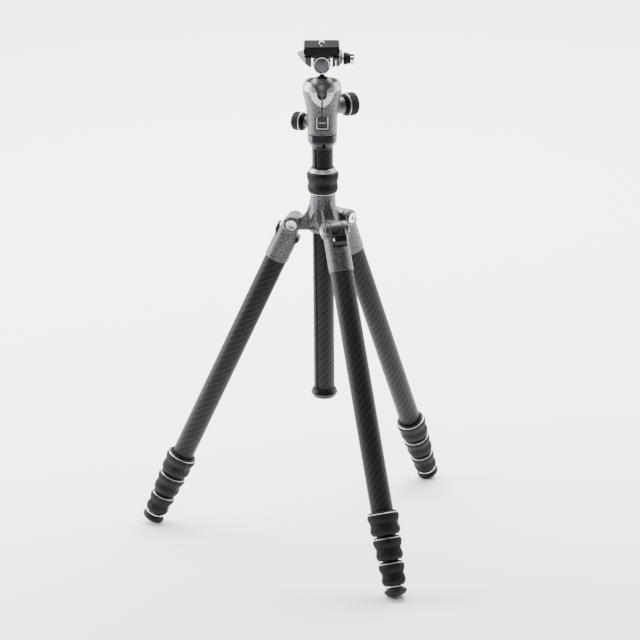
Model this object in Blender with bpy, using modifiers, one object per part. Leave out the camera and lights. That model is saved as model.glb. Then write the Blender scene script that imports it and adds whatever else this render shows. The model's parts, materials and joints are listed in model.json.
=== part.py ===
"""Travel tripod with a ball head: three folding four-section legs, a sliding column and a quick-release clamp.

Metres, +Z up. The head faces -Y. The origin is on the floor, at the centre of the bounding box's base.
Heights named *_Z are measured from the plane of the three leg pivots.
A leg's own frame has its origin on the pivot, +Z back along the leg towards the pivot, +X outwards
and +Y along the pivot bolt, so a place along the leg is a negative Z.
"""

import math

import bmesh
import bpy
from mathutils import Matrix, Vector

# ---------------------------------------------------------------- driving sizes
GAP = 0.0003  # between pieces that touch
RUN = 0.0004  # between pieces that slide or turn in each other

LEG_LENGTH = 0.400  # pivot to the tip of the foot, legs pushed in
LEG_SPREAD = 25.0  # degrees from the vertical
LEG_HEADING = -68.0  # degrees from +X to the front leg, seen from above
LEG_COUNT = 3
PIVOT_RADIUS = 0.0328  # column's axis to a leg's pivot

TUBE_RADIUS = 0.0122  # the thickest leg tube
TUBE_WALL = 0.0011
TUBE_STEP = 0.0005  # free space between one tube and the next
SECTIONS = 4

LOCK_LENGTH = 0.0235
LOCK_PITCH = 0.0270
LOCK_WALL = 0.0052  # a grip's thickness over its tube
LOCK_RING = 0.0028  # height of the plain ring over a grip
LOCK_RING_WALL = 0.0032
FOOT_RADIUS = 0.0126
FOOT_HEIGHT = 0.0095
FOOT_TIP_RADIUS = 0.0045

COLUMN_RADIUS = 0.0115
COLUMN_WALL = 0.0024
COLUMN_BOTTOM_Z = -0.1945
COLUMN_TOP_Z = 0.0845
GROOVE_WIDTH = 0.0034
GROOVE_DEPTH = 0.0013
GROOVE_HEADING = -128.0  # midway between two legs

BOLT_RADIUS = 0.0040
BOLT_CAP_RADIUS = 0.0058
BOLT_CAP = 0.0014
BARREL_RADIUS = 0.0090
TONGUE_HALF = 0.0070  # half the width of the spider's tongue
EAR = 0.0062  # thickness of a fork's ear
SLEEVE_WALL = 0.0009
SLEEVE_LENGTH = 0.0460  # pivot to the sleeve's lower edge
SLOT_DEPTH = 0.0200  # pivot to the bottom of the fork's slot
STOP_TOP = 0.0125  # pivot to the top of the angle stop's bar
STOP_REACH = 0.0150  # leg's axis to the stop's outer face
STOP_TAB_TOP = 0.0070  # pivot to the top of the stop's pull tab

SPIDER_BOTTOM_Z = -0.0090
SPIDER_NECK_Z = 0.0340
NECK_WALL = 0.0020
COLUMN_LOCK_Z = 0.0345
COLUMN_LOCK_LENGTH = 0.0235
COLUMN_LOCK_WALL = 0.0062

HEAD_BASE_Z = 0.0871
HEAD_BASE_RADIUS = 0.0162
HEAD_BASE_HEIGHT = 0.0139
PAN_SPIGOT_RADIUS = 0.0100
PAN_SPIGOT_HEIGHT = 0.0070
STUD_RADIUS = 0.0047

BALL_Z = 0.1473
BALL_RADIUS = 0.0165
NECK_RADIUS = 0.0035
NOTCH_HALF = 0.0051
DRUM_RADIUS = 0.0097  # the drum on top of the neck lies front to back
DRUM_RISE = 0.0307  # ball's centre to the drum's axis
DRUM_HALF = 0.0115
DRUM_RIM = 0.0022  # the full discs at the drum's two ends
DRUM_TOP = 0.0375  # ball's centre to the drum's flat top
COLLAR_RISE = 0.0057  # ball's centre to the foot of the polished collar
RIM_RISE = 0.0117  # ball's centre to the rim
SEAT_WALL = 0.0014
SEAT_POLAR = 140.0  # degrees from the top where the seat cup begins
BODY_RADIUS = 0.0214  # the head body at its widest

BALL_KNOB_HEADING = 30.0
BALL_KNOB_Z = 0.1287
BALL_KNOB_RADIUS = 0.0129
BALL_KNOB_INNER = 0.0262  # column's axis to the knob's inner face
BALL_KNOB_OUTER = 0.0412
BALL_BOSS_RADIUS = 0.0090
PAN_KNOB_HEADING = 150.0
PAN_KNOB_Z = 0.1108
PAN_KNOB_RADIUS = 0.0104
PAN_KNOB_INNER = 0.0218
PAN_KNOB_OUTER = 0.0360
PAN_BOSS_RADIUS = 0.0058
LOCK_SCREW_RADIUS = 0.0025

CLAMP_HALF_DEPTH = 0.0165
CLAMP_DECK = 0.0027  # thickness of the deck under the plate
JAW_TOP_RISE = 0.0024  # deck's top to the top of the jaws
SKIRT_INNER = 0.0110
SKIRT_OUTER = 0.0148
SKIRT_DROP = 0.0110  # deck's top down to the skirts' lower edge, at the column of the neck
WING_REACH = 0.0265
WING_TIP = 0.0030  # half the depth of the wing's tip
JAW_TIP = 0.0085
JAW_REACH = 0.0224
CLAMP_SCREW_DROP = 0.0047
CLAMP_KNOB_RADIUS = 0.0070
CLAMP_KNOB_LENGTH = 0.0122

PLATE_HALF_WIDTH = 0.0193
PLATE_HALF_DEPTH = 0.0190
PLATE_BODY = 0.0070
PLATE_FOOT = 0.0032  # depth of the dovetail
PLATE_FOOT_DEPTH = 0.0130  # half the dovetail's length
PLATE_WAIST = 0.0158
PLATE_FOOT_HALF = 0.0182
PAD_HEIGHT = 0.0012
PAD_INSET = 0.0006
CAMERA_SCREW_RADIUS = 0.0031
CAMERA_SCREW_PROUD = 0.0028
CAMERA_SCREW_HEAD = 0.0075

ROUND = 18  # sides of a turned piece
FINE = 24

# ---------------------------------------------------------------- places worked out from them
SPREAD = math.radians(LEG_SPREAD)
SECTION_RADII = [TUBE_RADIUS - i * (TUBE_WALL + TUBE_STEP) for i in range(SECTIONS)]
FIRST_LOCK = LEG_LENGTH - FOOT_HEIGHT - (SECTIONS - 1) * LOCK_PITCH + 0.001
LOCK_STARTS = [FIRST_LOCK + i * LOCK_PITCH for i in range(SECTIONS - 1)]
TUBE_SEAT = 0.6  # share of a grip's length that its own tube fills
TUBE_TOP = SLOT_DEPTH + 0.0038
SLEEVE_RADIUS = TUBE_RADIUS + GAP + SLEEVE_WALL
EAR_INNER = TONGUE_HALF + RUN
EAR_OUTER = EAR_INNER + EAR
DECK_TOP_Z = BALL_Z + DRUM_TOP + GAP + CLAMP_DECK
PLATE_Z = DECK_TOP_Z + GAP
FOOT_BALL = 0.012  # radius of the rounded tread, which sets how high the pivots stand
PIVOT_HEIGHT = (LEG_LENGTH - FOOT_BALL) * math.cos(SPREAD) + FOOT_BALL


# ---------------------------------------------------------------- tools
def collection(name):
    made = bpy.data.collections.new(name)
    bpy.context.scene.collection.children.link(made)
    return made


def material(name, color, roughness, metallic):
    made = bpy.data.materials.new(name)
    made.use_nodes = True
    shader = made.node_tree.nodes["Principled BSDF"]
    shader.inputs["Base Color"].default_value = (*color, 1)
    shader.inputs["Roughness"].default_value = roughness
    shader.inputs["Metallic"].default_value = metallic
    return made


def frame(name, parent=None, at=(0, 0, 0), turn=None):
    """An empty that places the pieces of one moving body."""
    made = bpy.data.objects.new(name, None)
    PARTS.objects.link(made)
    made.parent = parent
    made.location = at
    made.rotation_euler = (turn or Matrix.Identity(3)).to_euler()
    return made


def piece(name, mesh, parent, look, at=(0, 0, 0), turn=None):
    """One sub-part in the frame of its body; look None makes it a cutter or a joining shape."""
    made = bpy.data.objects.new(name, mesh)
    made.parent = parent
    made.location = at
    made.rotation_euler = (turn or Matrix.Identity(3)).to_euler()
    if look is None:
        CUTTERS.objects.link(made)
        made.hide_render = True
        made.display_type = "WIRE"
    else:
        PARTS.objects.link(made)
        mesh.materials.append(look)
    return made


def shade(obj):
    obj.data.shade_smooth()
    obj.data.set_sharp_from_angle(angle=math.radians(30))
    return obj


def turned(name, profile, parent, look, at=(0, 0, 0), turn=None, sides=ROUND, ring=False):
    """A shape turned about its Z axis. The profile, (radius, height), runs down the outer side."""
    mesh = bpy.data.meshes.new(name)
    count = len(profile)
    edges = [(i, i + 1) for i in range(count - 1)] + ([(count - 1, 0)] if ring else [])
    mesh.from_pydata([(r, 0, z) for r, z in profile], edges, [])
    made = piece(name, mesh, parent, look, at, turn)
    screw = made.modifiers.new("Turn", "SCREW")
    screw.axis = "Z"
    screw.angle = math.tau
    screw.steps = sides
    screw.render_steps = sides
    screw.use_merge_vertices = True
    screw.merge_threshold = 0.00001
    screw.use_smooth_shade = True
    return made


def tube(name, outer, inner, low, high, parent, look):
    """A plain ring or pipe between two heights."""
    profile = [(outer, high), (outer, low), (inner, low), (inner, high)]
    return turned(name, profile, parent, look, ring=True)


def rod(name, radius, low, high, parent, look, at=(0, 0, 0), turn=None, sides=ROUND):
    """A solid cylinder between two heights."""
    profile = [(0, high), (radius, high), (radius, low), (0, low)]
    return turned(name, profile, parent, look, at, turn, sides)


def block(name, low, high, parent, look, at=(0, 0, 0), turn=None):
    """A box between two corners of its parent's frame."""
    low, high = Vector(low), Vector(high)
    mesh = bpy.data.meshes.new(name)
    shape = bmesh.new()
    bmesh.ops.create_cube(shape, size=1)
    bmesh.ops.scale(shape, vec=high - low, verts=shape.verts)
    bmesh.ops.translate(shape, vec=(low + high) / 2, verts=shape.verts)
    shape.to_mesh(mesh)
    shape.free()
    return piece(name, mesh, parent, look, at, turn)


def profiled(name, outline, half_depth, parent, look, at=(0, 0, 0), turn=None):
    """A flat outline in X and Z, thickened both ways along Y."""
    mesh = bpy.data.meshes.new(name)
    mesh.from_pydata([(x, 0, z) for x, z in outline], [], [range(len(outline))])
    made = piece(name, mesh, parent, look, at, turn)
    solid = made.modifiers.new("Thickness", "SOLIDIFY")
    solid.thickness = 2 * half_depth
    solid.offset = 0
    return made


def boolean(obj, others, operation):
    """One exact boolean with a group of shapes. Triangles go in, since wide faces can come out slightly bent."""
    group = bpy.data.collections.new(f"{obj.name} {operation.lower()} {len(obj.modifiers)}")
    CUTTERS.children.link(group)
    for other in others:
        CUTTERS.objects.unlink(other)
        group.objects.link(other)
    obj.modifiers.new("Flat faces", "TRIANGULATE")
    made = obj.modifiers.new(operation.title(), "BOOLEAN")
    made.operation = operation
    made.operand_type = "COLLECTION"
    made.collection = group
    made.solver = "EXACT"


def cut(obj, *cutters):
    boolean(obj, cutters, "DIFFERENCE")


def join(obj, *others):
    boolean(obj, others, "UNION")


def soften(obj, width, segments=2):
    bevel = obj.modifiers.new("Edges", "BEVEL")
    bevel.width = width
    bevel.segments = segments
    bevel.limit_method = "ANGLE"
    bevel.angle_limit = math.radians(40)
    return obj


def about_z(degrees):
    return Matrix.Rotation(math.radians(degrees), 3, "Z")


LIE_ALONG_X = Matrix.Rotation(math.radians(90), 3, "Y")  # a turned shape's Z becomes +X
LIE_ALONG_Y = Matrix.Rotation(math.radians(-90), 3, "X")  # a turned shape's Z becomes +Y


def arc(radius, centre, start, end, steps):
    """Points (radius, height) on a circle about (0, centre), by polar angle from the top."""
    angles = [math.radians(start + (end - start) * i / steps) for i in range(steps + 1)]
    return [(radius * math.sin(a), centre + radius * math.cos(a)) for a in angles]


# ---------------------------------------------------------------- leg
def grip_profile(start, tube_radius, next_radius, seat):
    """A twist lock: a plain ring, a ribbed bulge, a waist and a second bulge, with a stepped bore."""
    top = -start
    low = top - LOCK_LENGTH
    bulge = tube_radius + LOCK_WALL
    waist = bulge - 0.0017
    ring = tube_radius + LOCK_RING_WALL
    bore = tube_radius + RUN
    lip = next_radius + RUN
    step = -seat - GAP
    return [
        (ring, top + LOCK_RING), (ring, top), (bulge, top - 0.0016), (bulge, top - 0.0062),
        (waist, top - 0.0105), (bulge - 0.0010, top - 0.0150), (bulge - 0.0010, low + 0.0035),
        (bulge - 0.0034, low), (lip, low), (lip, step), (bore, step), (bore, top + LOCK_RING),
    ]  # fmt: skip


def make_fork(name, leg):
    """A leg's top casting: two ears around the pivot, running down into a sleeve for the tube."""
    reach = SLEEVE_RADIUS + 0.004
    fork = rod(f"{name}_fork", SLEEVE_RADIUS, -SLEEVE_LENGTH, BARREL_RADIUS + 0.001, leg, CASTING)
    crown = arc(BARREL_RADIUS - 0.0004, 0, 70, -90, 8)
    ears = [
        (reach, -SLEEVE_LENGTH - 0.002), (reach, -0.0085), (0.0118, -0.0040), *crown,
        (-BARREL_RADIUS + 0.0003, -0.0080), (-reach, -SLOT_DEPTH), (-reach, -SLEEVE_LENGTH - 0.002),
    ]  # fmt: skip
    outline = profiled(f"{name}_ears", ears, reach, leg, None)
    knuckle = rod(f"{name}_knuckle", BARREL_RADIUS, -EAR_OUTER, EAR_OUTER, leg, None, turn=LIE_ALONG_Y)
    slot = block(
        f"{name}_slot", (-reach, -EAR_INNER, -SLOT_DEPTH), (reach, EAR_INNER, reach), leg, None
    )
    bolt_hole = rod(
        f"{name}_bolt_hole", BOLT_RADIUS + GAP, -reach, reach, leg, None, turn=LIE_ALONG_Y, sides=12
    )
    tube_hole = rod(
        f"{name}_tube_hole", TUBE_RADIUS + GAP, -SLEEVE_LENGTH - 0.002, -TUBE_TOP + GAP, leg, None
    )
    boolean(fork, [outline], "INTERSECT")
    join(fork, knuckle)
    cut(fork, slot, bolt_hole, tube_hole)
    return fork


def make_bolt(name, leg):
    reach = EAR_OUTER + GAP
    profile = [
        (0, reach + BOLT_CAP), (BOLT_CAP_RADIUS, reach + BOLT_CAP), (BOLT_CAP_RADIUS, reach),
        (BOLT_RADIUS, reach), (BOLT_RADIUS, -reach), (BOLT_CAP_RADIUS, -reach),
        (BOLT_CAP_RADIUS, -reach - BOLT_CAP), (0, -reach - BOLT_CAP),
    ]  # fmt: skip
    return turned(f"{name}_bolt", profile, leg, STEEL, turn=LIE_ALONG_Y, sides=12)


def make_stop(name, leg):
    """The sliding angle stop: a bar through the fork's slot with a pull tab on its outer end."""
    half = EAR_INNER - RUN
    tab = 0.0032
    low = -SLOT_DEPTH + GAP
    outline = [
        (STOP_REACH, -STOP_TAB_TOP), (STOP_REACH, -STOP_TOP - 0.0020), (STOP_REACH - tab, low + 0.0010),
        (STOP_REACH - tab, low), (-STOP_REACH + 0.0012, low), (-STOP_REACH, low + 0.0024),
        (-STOP_REACH, -STOP_TOP - 0.0020), (-STOP_REACH + 0.0014, -STOP_TOP),
        (STOP_REACH - tab, -STOP_TOP), (STOP_REACH - tab, -STOP_TAB_TOP),
    ]  # fmt: skip
    return profiled(f"{name}_angle_stop", outline, half, leg, PLASTIC)


def make_foot(name, leg):
    top = -LEG_LENGTH + FOOT_HEIGHT
    neck = SECTION_RADII[-1] + 0.0030
    profile = [
        (0, top), (neck, top), (neck, top - 0.0010), (FOOT_RADIUS, top - 0.0022),
        (FOOT_RADIUS, top - 0.0042), (FOOT_RADIUS * 0.72, -LEG_LENGTH + 0.0017),
        (FOOT_TIP_RADIUS, -LEG_LENGTH), (0, -LEG_LENGTH),
    ]  # fmt: skip
    return turned(f"{name}_foot", profile, leg, RUBBER, sides=FINE)


def make_leg(number):
    """One leg: pivot frame, casting, bolt, stop, four nested tubes, three twist locks and the foot."""
    name = f"leg_{number}"
    heading = LEG_HEADING + (number - 1) * 360 / LEG_COUNT
    out = about_z(heading) @ Vector((PIVOT_RADIUS, 0, 0))
    lean = Matrix.Rotation(-SPREAD, 3, "Y")
    leg = frame(f"{name}_pivot", SPIDER_FRAME, out, about_z(heading) @ lean)
    shade(make_fork(name, leg))
    make_bolt(name, leg)
    make_stop(name, leg)
    for i, radius in enumerate(SECTION_RADII):
        top = TUBE_TOP + i * 0.0015
        last = i == SECTIONS - 1
        end = LEG_LENGTH - FOOT_HEIGHT - GAP if last else LOCK_STARTS[i] + TUBE_SEAT * LOCK_LENGTH
        tube(f"{name}_tube_{i + 1}", radius, radius - TUBE_WALL, -end, -top, leg, CARBON)
        if not last:
            grip = grip_profile(LOCK_STARTS[i], radius, SECTION_RADII[i + 1], end)
            turned(f"{name}_lock_{i + 1}", grip, leg, RUBBER, ring=True)
    make_foot(name, leg)


# ---------------------------------------------------------------- spider and column
def make_spider():
    """The crown the legs hang from: a turned hub, three tongues and the column's bore with its key."""
    bore = COLUMN_RADIUS + RUN
    neck = bore + NECK_WALL
    profile = [
        (0, SPIDER_NECK_Z), (neck, SPIDER_NECK_Z), (neck, 0.0200), (neck + 0.0024, 0.0090),
        (neck + 0.0034, 0.0010), (neck + 0.0026, -0.0060), (neck + 0.0006, SPIDER_BOTTOM_Z),
        (0, SPIDER_BOTTOM_Z),
    ]  # fmt: skip
    spider = turned("spider", profile, SPIDER_FRAME, CASTING, sides=FINE)
    tongues = []
    holes = []
    for number in range(LEG_COUNT):
        heading = about_z(LEG_HEADING + number * 360 / LEG_COUNT)
        outline = [
            (0.0050, -0.0072), (PIVOT_RADIUS, -0.0072), (PIVOT_RADIUS, 0.0065),
            (PIVOT_RADIUS - 0.0095, 0.0065), (PIVOT_RADIUS - 0.0180, 0.0110), (0.0050, 0.0175),
        ]  # fmt: skip
        arm = profiled(f"arm_{number}", outline, TONGUE_HALF - 0.0003, SPIDER_FRAME, None, turn=heading)
        at = heading @ Vector((PIVOT_RADIUS, 0, 0))
        along = heading @ LIE_ALONG_Y
        barrel = rod(
            f"barrel_{number}", BARREL_RADIUS, -TONGUE_HALF, TONGUE_HALF,
            SPIDER_FRAME, None, at, along,
        )  # fmt: skip
        hole = rod(f"pivot_hole_{number}", BOLT_RADIUS + GAP, -0.02, 0.02, SPIDER_FRAME, None, at, along, 12)
        tongues += [arm, barrel]
        holes.append(hole)
    join(spider, *tongues)
    way = rod("column_way", bore, SPIDER_BOTTOM_Z - 0.01, SPIDER_NECK_Z + 0.01, SPIDER_FRAME, None, sides=FINE)
    cut(spider, way, *holes)
    key_half = GROOVE_WIDTH / 2 - RUN
    tip = COLUMN_RADIUS - GROOVE_DEPTH + RUN
    key = block(
        "key", (tip, -key_half, SPIDER_BOTTOM_Z + 0.002), (bore + 0.001, key_half, SPIDER_NECK_Z - 0.004),
        SPIDER_FRAME, None, turn=about_z(GROOVE_HEADING),
    )  # fmt: skip
    join(spider, key)
    return spider


def make_column_lock():
    top = COLUMN_LOCK_Z + COLUMN_LOCK_LENGTH
    bulge = COLUMN_RADIUS + COLUMN_LOCK_WALL
    collet_outer = COLUMN_RADIUS + RUN + 0.0014
    bore = collet_outer + RUN
    low = COLUMN_LOCK_Z
    profile = [
        (bulge - 0.0016, top), (bulge, top - 0.0022), (bulge, top - 0.0068), (bulge - 0.0017, top - 0.0095),
        (bulge - 0.0017, top - 0.0140), (bulge - 0.0008, top - 0.0165), (bulge - 0.0008, low + 0.0030),
        (bulge - 0.0030, low), (bore, low), (bore, top),
    ]  # fmt: skip
    turned("column_lock", profile, SPIDER_FRAME, RUBBER, sides=FINE, ring=True)
    tube(
        "column_collet", collet_outer, COLUMN_RADIUS + RUN, low + GAP, top - GAP, SPIDER_FRAME, PLASTIC
    )
    outer = bulge - 0.0030
    profile = [
        (outer - 0.0012, top + 0.0048), (outer, top + 0.0030), (outer, top + GAP),
        (COLUMN_RADIUS + RUN, top + GAP), (COLUMN_RADIUS + RUN, top + 0.0048),
    ]  # fmt: skip
    turned("column_lock_ring", profile, SPIDER_FRAME, STEEL, ring=True)


def make_column():
    wall = COLUMN_RADIUS - COLUMN_WALL
    column = tube(
        "column_tube", COLUMN_RADIUS, wall, COLUMN_BOTTOM_Z, COLUMN_TOP_Z, COLUMN_FRAME, CARBON
    )
    half = GROOVE_WIDTH / 2
    groove = block(
        "groove",
        (COLUMN_RADIUS - GROOVE_DEPTH, -half, COLUMN_BOTTOM_Z - 0.01),
        (COLUMN_RADIUS + 0.01, half, COLUMN_TOP_Z + 0.01),
        COLUMN_FRAME, None, turn=about_z(GROOVE_HEADING),
    )  # fmt: skip
    cut(column, groove)
    lip = COLUMN_RADIUS + 0.0020
    low = COLUMN_BOTTOM_Z - 0.0085
    cap = [
        (0, COLUMN_BOTTOM_Z - GAP), (COLUMN_RADIUS + GAP, COLUMN_BOTTOM_Z - GAP),
        (COLUMN_RADIUS + GAP, COLUMN_BOTTOM_Z + 0.0030), (lip, COLUMN_BOTTOM_Z + 0.0022),
        (lip + 0.0013, COLUMN_BOTTOM_Z - 0.0020), (lip + 0.0013, COLUMN_BOTTOM_Z - 0.0036),
        (lip, low + 0.0022), (lip - 0.0030, low), (0, low),
    ]  # fmt: skip
    turned("column_cap", cap, COLUMN_FRAME, PLASTIC, sides=FINE)
    top = HEAD_BASE_Z - GAP
    hole = STUD_RADIUS + GAP
    plate = [
        (HEAD_BASE_RADIUS - 0.0040, top), (HEAD_BASE_RADIUS - 0.0044, COLUMN_TOP_Z + GAP),
        (wall - GAP, COLUMN_TOP_Z + GAP), (wall - GAP, COLUMN_TOP_Z - 0.0060),
        (hole, COLUMN_TOP_Z - 0.0060), (hole, top),
    ]  # fmt: skip
    turned("column_top_plate", plate, COLUMN_FRAME, PLASTIC, ring=True)
    rod("head_stud", STUD_RADIUS, COLUMN_TOP_Z - 0.0055, HEAD_BASE_Z + 0.0088, COLUMN_FRAME, STEEL, sides=16)


# ---------------------------------------------------------------- head
def make_head_base():
    top = HEAD_BASE_Z + HEAD_BASE_HEIGHT
    spigot = top + PAN_SPIGOT_HEIGHT
    bore = STUD_RADIUS + GAP
    bore_top = HEAD_BASE_Z + 0.0092
    profile = [
        (0, spigot), (PAN_SPIGOT_RADIUS, spigot), (PAN_SPIGOT_RADIUS, top), (HEAD_BASE_RADIUS, top),
        (HEAD_BASE_RADIUS, HEAD_BASE_Z + 0.0054), (HEAD_BASE_RADIUS - 0.0036, HEAD_BASE_Z),
        (bore, HEAD_BASE_Z), (bore, bore_top), (0, bore_top),
    ]  # fmt: skip
    turned("head_base", profile, COLUMN_FRAME, STEEL, sides=FINE)


def notch_cutters(name, parent):
    """The drop notch at the front: a round-bottomed slot that lets the neck lie flat."""
    half = NOTCH_HALF
    well = rod(f"{name}_well", half, 0.004, 0.040, parent, None, turn=LIE_ALONG_Y.transposed(), sides=16)
    mouth = block(f"{name}_mouth", (-half, -0.040, 0), (half, -0.004, 0.030), parent, None)
    flare = profiled(
        f"{name}_flare",
        [(-half, 0.0035), (half, 0.0035), (0.0125, 0.0125), (-0.0125, 0.0125)],
        0.010, parent, None, at=(0, -0.021, 0),
    )  # fmt: skip
    flat_at = DRUM_RISE - DRUM_RADIUS - GAP
    flat = block(f"{name}_flat", (-0.03, -0.05, -0.0115), (0.03, -flat_at, 0.03), parent, None)
    return well, mouth, flare, flat


def make_head_body():
    low = HEAD_BASE_Z + HEAD_BASE_HEIGHT + GAP
    socket = BALL_RADIUS + RUN
    cup = BALL_RADIUS + 3 * RUN + SEAT_WALL
    spigot = PAN_SPIGOT_RADIUS + RUN
    recess = low + PAN_SPIGOT_HEIGHT + RUN
    top = BALL_Z + COLLAR_RISE
    profile = [
        (socket, top), (BODY_RADIUS, top), (BODY_RADIUS, top - 0.0030), (BODY_RADIUS - 0.0018, BALL_Z - 0.0075),
        (BODY_RADIUS - 0.0040, BALL_Z - 0.0175), (BODY_RADIUS - 0.0051, BALL_Z - 0.0290),
        (HEAD_BASE_RADIUS, low), (spigot, low), (spigot, recess), (0, recess), (0, BALL_Z - cup),
    ]  # fmt: skip
    hollow = arc(cup, BALL_Z, 180, 112, 5)[1:]
    profile += hollow + [(socket, hollow[-1][1])]
    body = turned("head_body", profile, PAN_FRAME, CASTING, sides=FINE, ring=True)
    for name, heading, height, radius, reach in (
        ("ball_lock", BALL_KNOB_HEADING, BALL_KNOB_Z, BALL_BOSS_RADIUS, BALL_KNOB_INNER),
        ("pan_lock", PAN_KNOB_HEADING, PAN_KNOB_Z, PAN_BOSS_RADIUS, PAN_KNOB_INNER),
    ):
        turn = about_z(heading) @ LIE_ALONG_X
        start = 0.0185 if name == "ball_lock" else 0.0145
        boss = rod(f"{name}_boss", radius, start, reach - RUN, PAN_FRAME, None, (0, 0, height), turn)
        bore = rod(
            f"{name}_bore", LOCK_SCREW_RADIUS + RUN, start - 0.0016, reach + 0.01, PAN_FRAME, None,
            (0, 0, height), turn, sides=16,
        )  # fmt: skip
        join(body, boss)
        cut(body, bore)
    ball_centre = frame("notch_frame", PAN_FRAME, (0, 0, BALL_Z))
    cut(body, *notch_cutters("body", ball_centre))
    # the polished collar closes the socket over the ball
    low = top + GAP
    rim = BALL_Z + RIM_RISE
    mouth = 0.0132
    lip = BALL_Z + math.sqrt(socket**2 - mouth**2)
    collar = [
        (mouth + 0.0010, rim), (0.0183, rim), (BODY_RADIUS - 0.0003, low + 0.0012), (BODY_RADIUS, low),
        (socket, low), (0.0158, BALL_Z + math.sqrt(socket**2 - 0.0158**2) + 0.0003), (mouth, lip + 0.0003),
    ]  # fmt: skip
    trim = turned("head_collar", collar, PAN_FRAME, TRIM, sides=FINE, ring=True)
    cut(trim, *notch_cutters("collar", ball_centre))


def make_ball():
    """The ball, its neck and the drum across the top, flat where the clamp's deck sits between the end discs."""
    profile = [(0, DRUM_RISE), (NECK_RADIUS + 0.0022, DRUM_RISE), (NECK_RADIUS + 0.0022, DRUM_RISE - 0.0088)]
    profile += [(NECK_RADIUS, 0.0195), (NECK_RADIUS, 0.0172)]
    meet = math.degrees(math.asin(NECK_RADIUS / BALL_RADIUS))
    profile += arc(BALL_RADIUS, 0, meet, 180, 9)
    profile[-1] = (0, -BALL_RADIUS)
    ball = turned("ball", profile, TILT_FRAME, BALL_STEEL, sides=ROUND)
    drum = rod("drum", DRUM_RADIUS, -DRUM_HALF, DRUM_HALF, TILT_FRAME, None, (0, 0, DRUM_RISE), LIE_ALONG_Y, FINE)
    inside = DRUM_HALF - DRUM_RIM
    flat = block("drum_flat", (-DRUM_RADIUS, -inside, DRUM_TOP), (DRUM_RADIUS, inside, DRUM_TOP + 0.01), TILT_FRAME, None)
    join(ball, drum)
    cut(ball, flat)
    inner = BALL_RADIUS + RUN
    outer = inner + SEAT_WALL
    cup = arc(outer, 0, SEAT_POLAR, 168, 2) + arc(inner, 0, 168, SEAT_POLAR, 2)
    turned("ball_seat", cup, LEAN_FRAME, PLASTIC, ring=True)


def knob_profile(radius, length, collar):
    """A knob turned about Z, its inner face at 0 and its crowned end at length."""
    return [
        (0, length), (radius * 0.72, length), (radius * 0.94, length - 0.0014), (radius, length - 0.0045),
        (radius, 0.0040), (radius - 0.0012, 0.0026), (radius - 0.0008, 0.0012), (radius - 0.0030, 0),
        (collar, 0), (collar, 0.0060), (0, 0.0060),
    ]  # fmt: skip


def make_head_knobs():
    for name, heading, height, radius, inner, outer, tip in (
        ("ball_lock", BALL_KNOB_HEADING, BALL_KNOB_Z, BALL_KNOB_RADIUS, BALL_KNOB_INNER, BALL_KNOB_OUTER, 0.0172),
        ("pan_lock", PAN_KNOB_HEADING, PAN_KNOB_Z, PAN_KNOB_RADIUS, PAN_KNOB_INNER, PAN_KNOB_OUTER, 0.0132),
    ):
        along = about_z(heading)
        axle = frame(
            f"{name}_axle", PAN_FRAME, along @ Vector((inner, 0, 0)) + Vector((0, 0, height)), along @ LIE_ALONG_X
        )
        profile = knob_profile(radius, outer - inner, LOCK_SCREW_RADIUS + GAP)
        turned(f"{name}_knob", profile, axle, RUBBER, sides=FINE)
        rod(f"{name}_screw", LOCK_SCREW_RADIUS, tip - inner, 0.0057, axle, STEEL, sides=16)


def corner_cutters(name, root, reach, tip, parent):
    """Two upright prisms that take the front and back corners off a jaw, so that it narrows to its tip."""
    side = math.copysign(1, reach)
    far = reach + side * 0.002
    deep = CLAMP_HALF_DEPTH + 0.0005
    shapes = []
    for end in (-1, 1):
        outline = [(root, end * deep), (reach, end * tip), (far, end * tip), (far, end * (deep + 0.002)),
                   (root, end * (deep + 0.002))]  # fmt: skip
        shapes.append(
            profiled(f"{name}_corner_{end}", outline, 0.012, parent, None, (0, 0, DRUM_TOP), LIE_ALONG_Y)
        )
    return shapes


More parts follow.
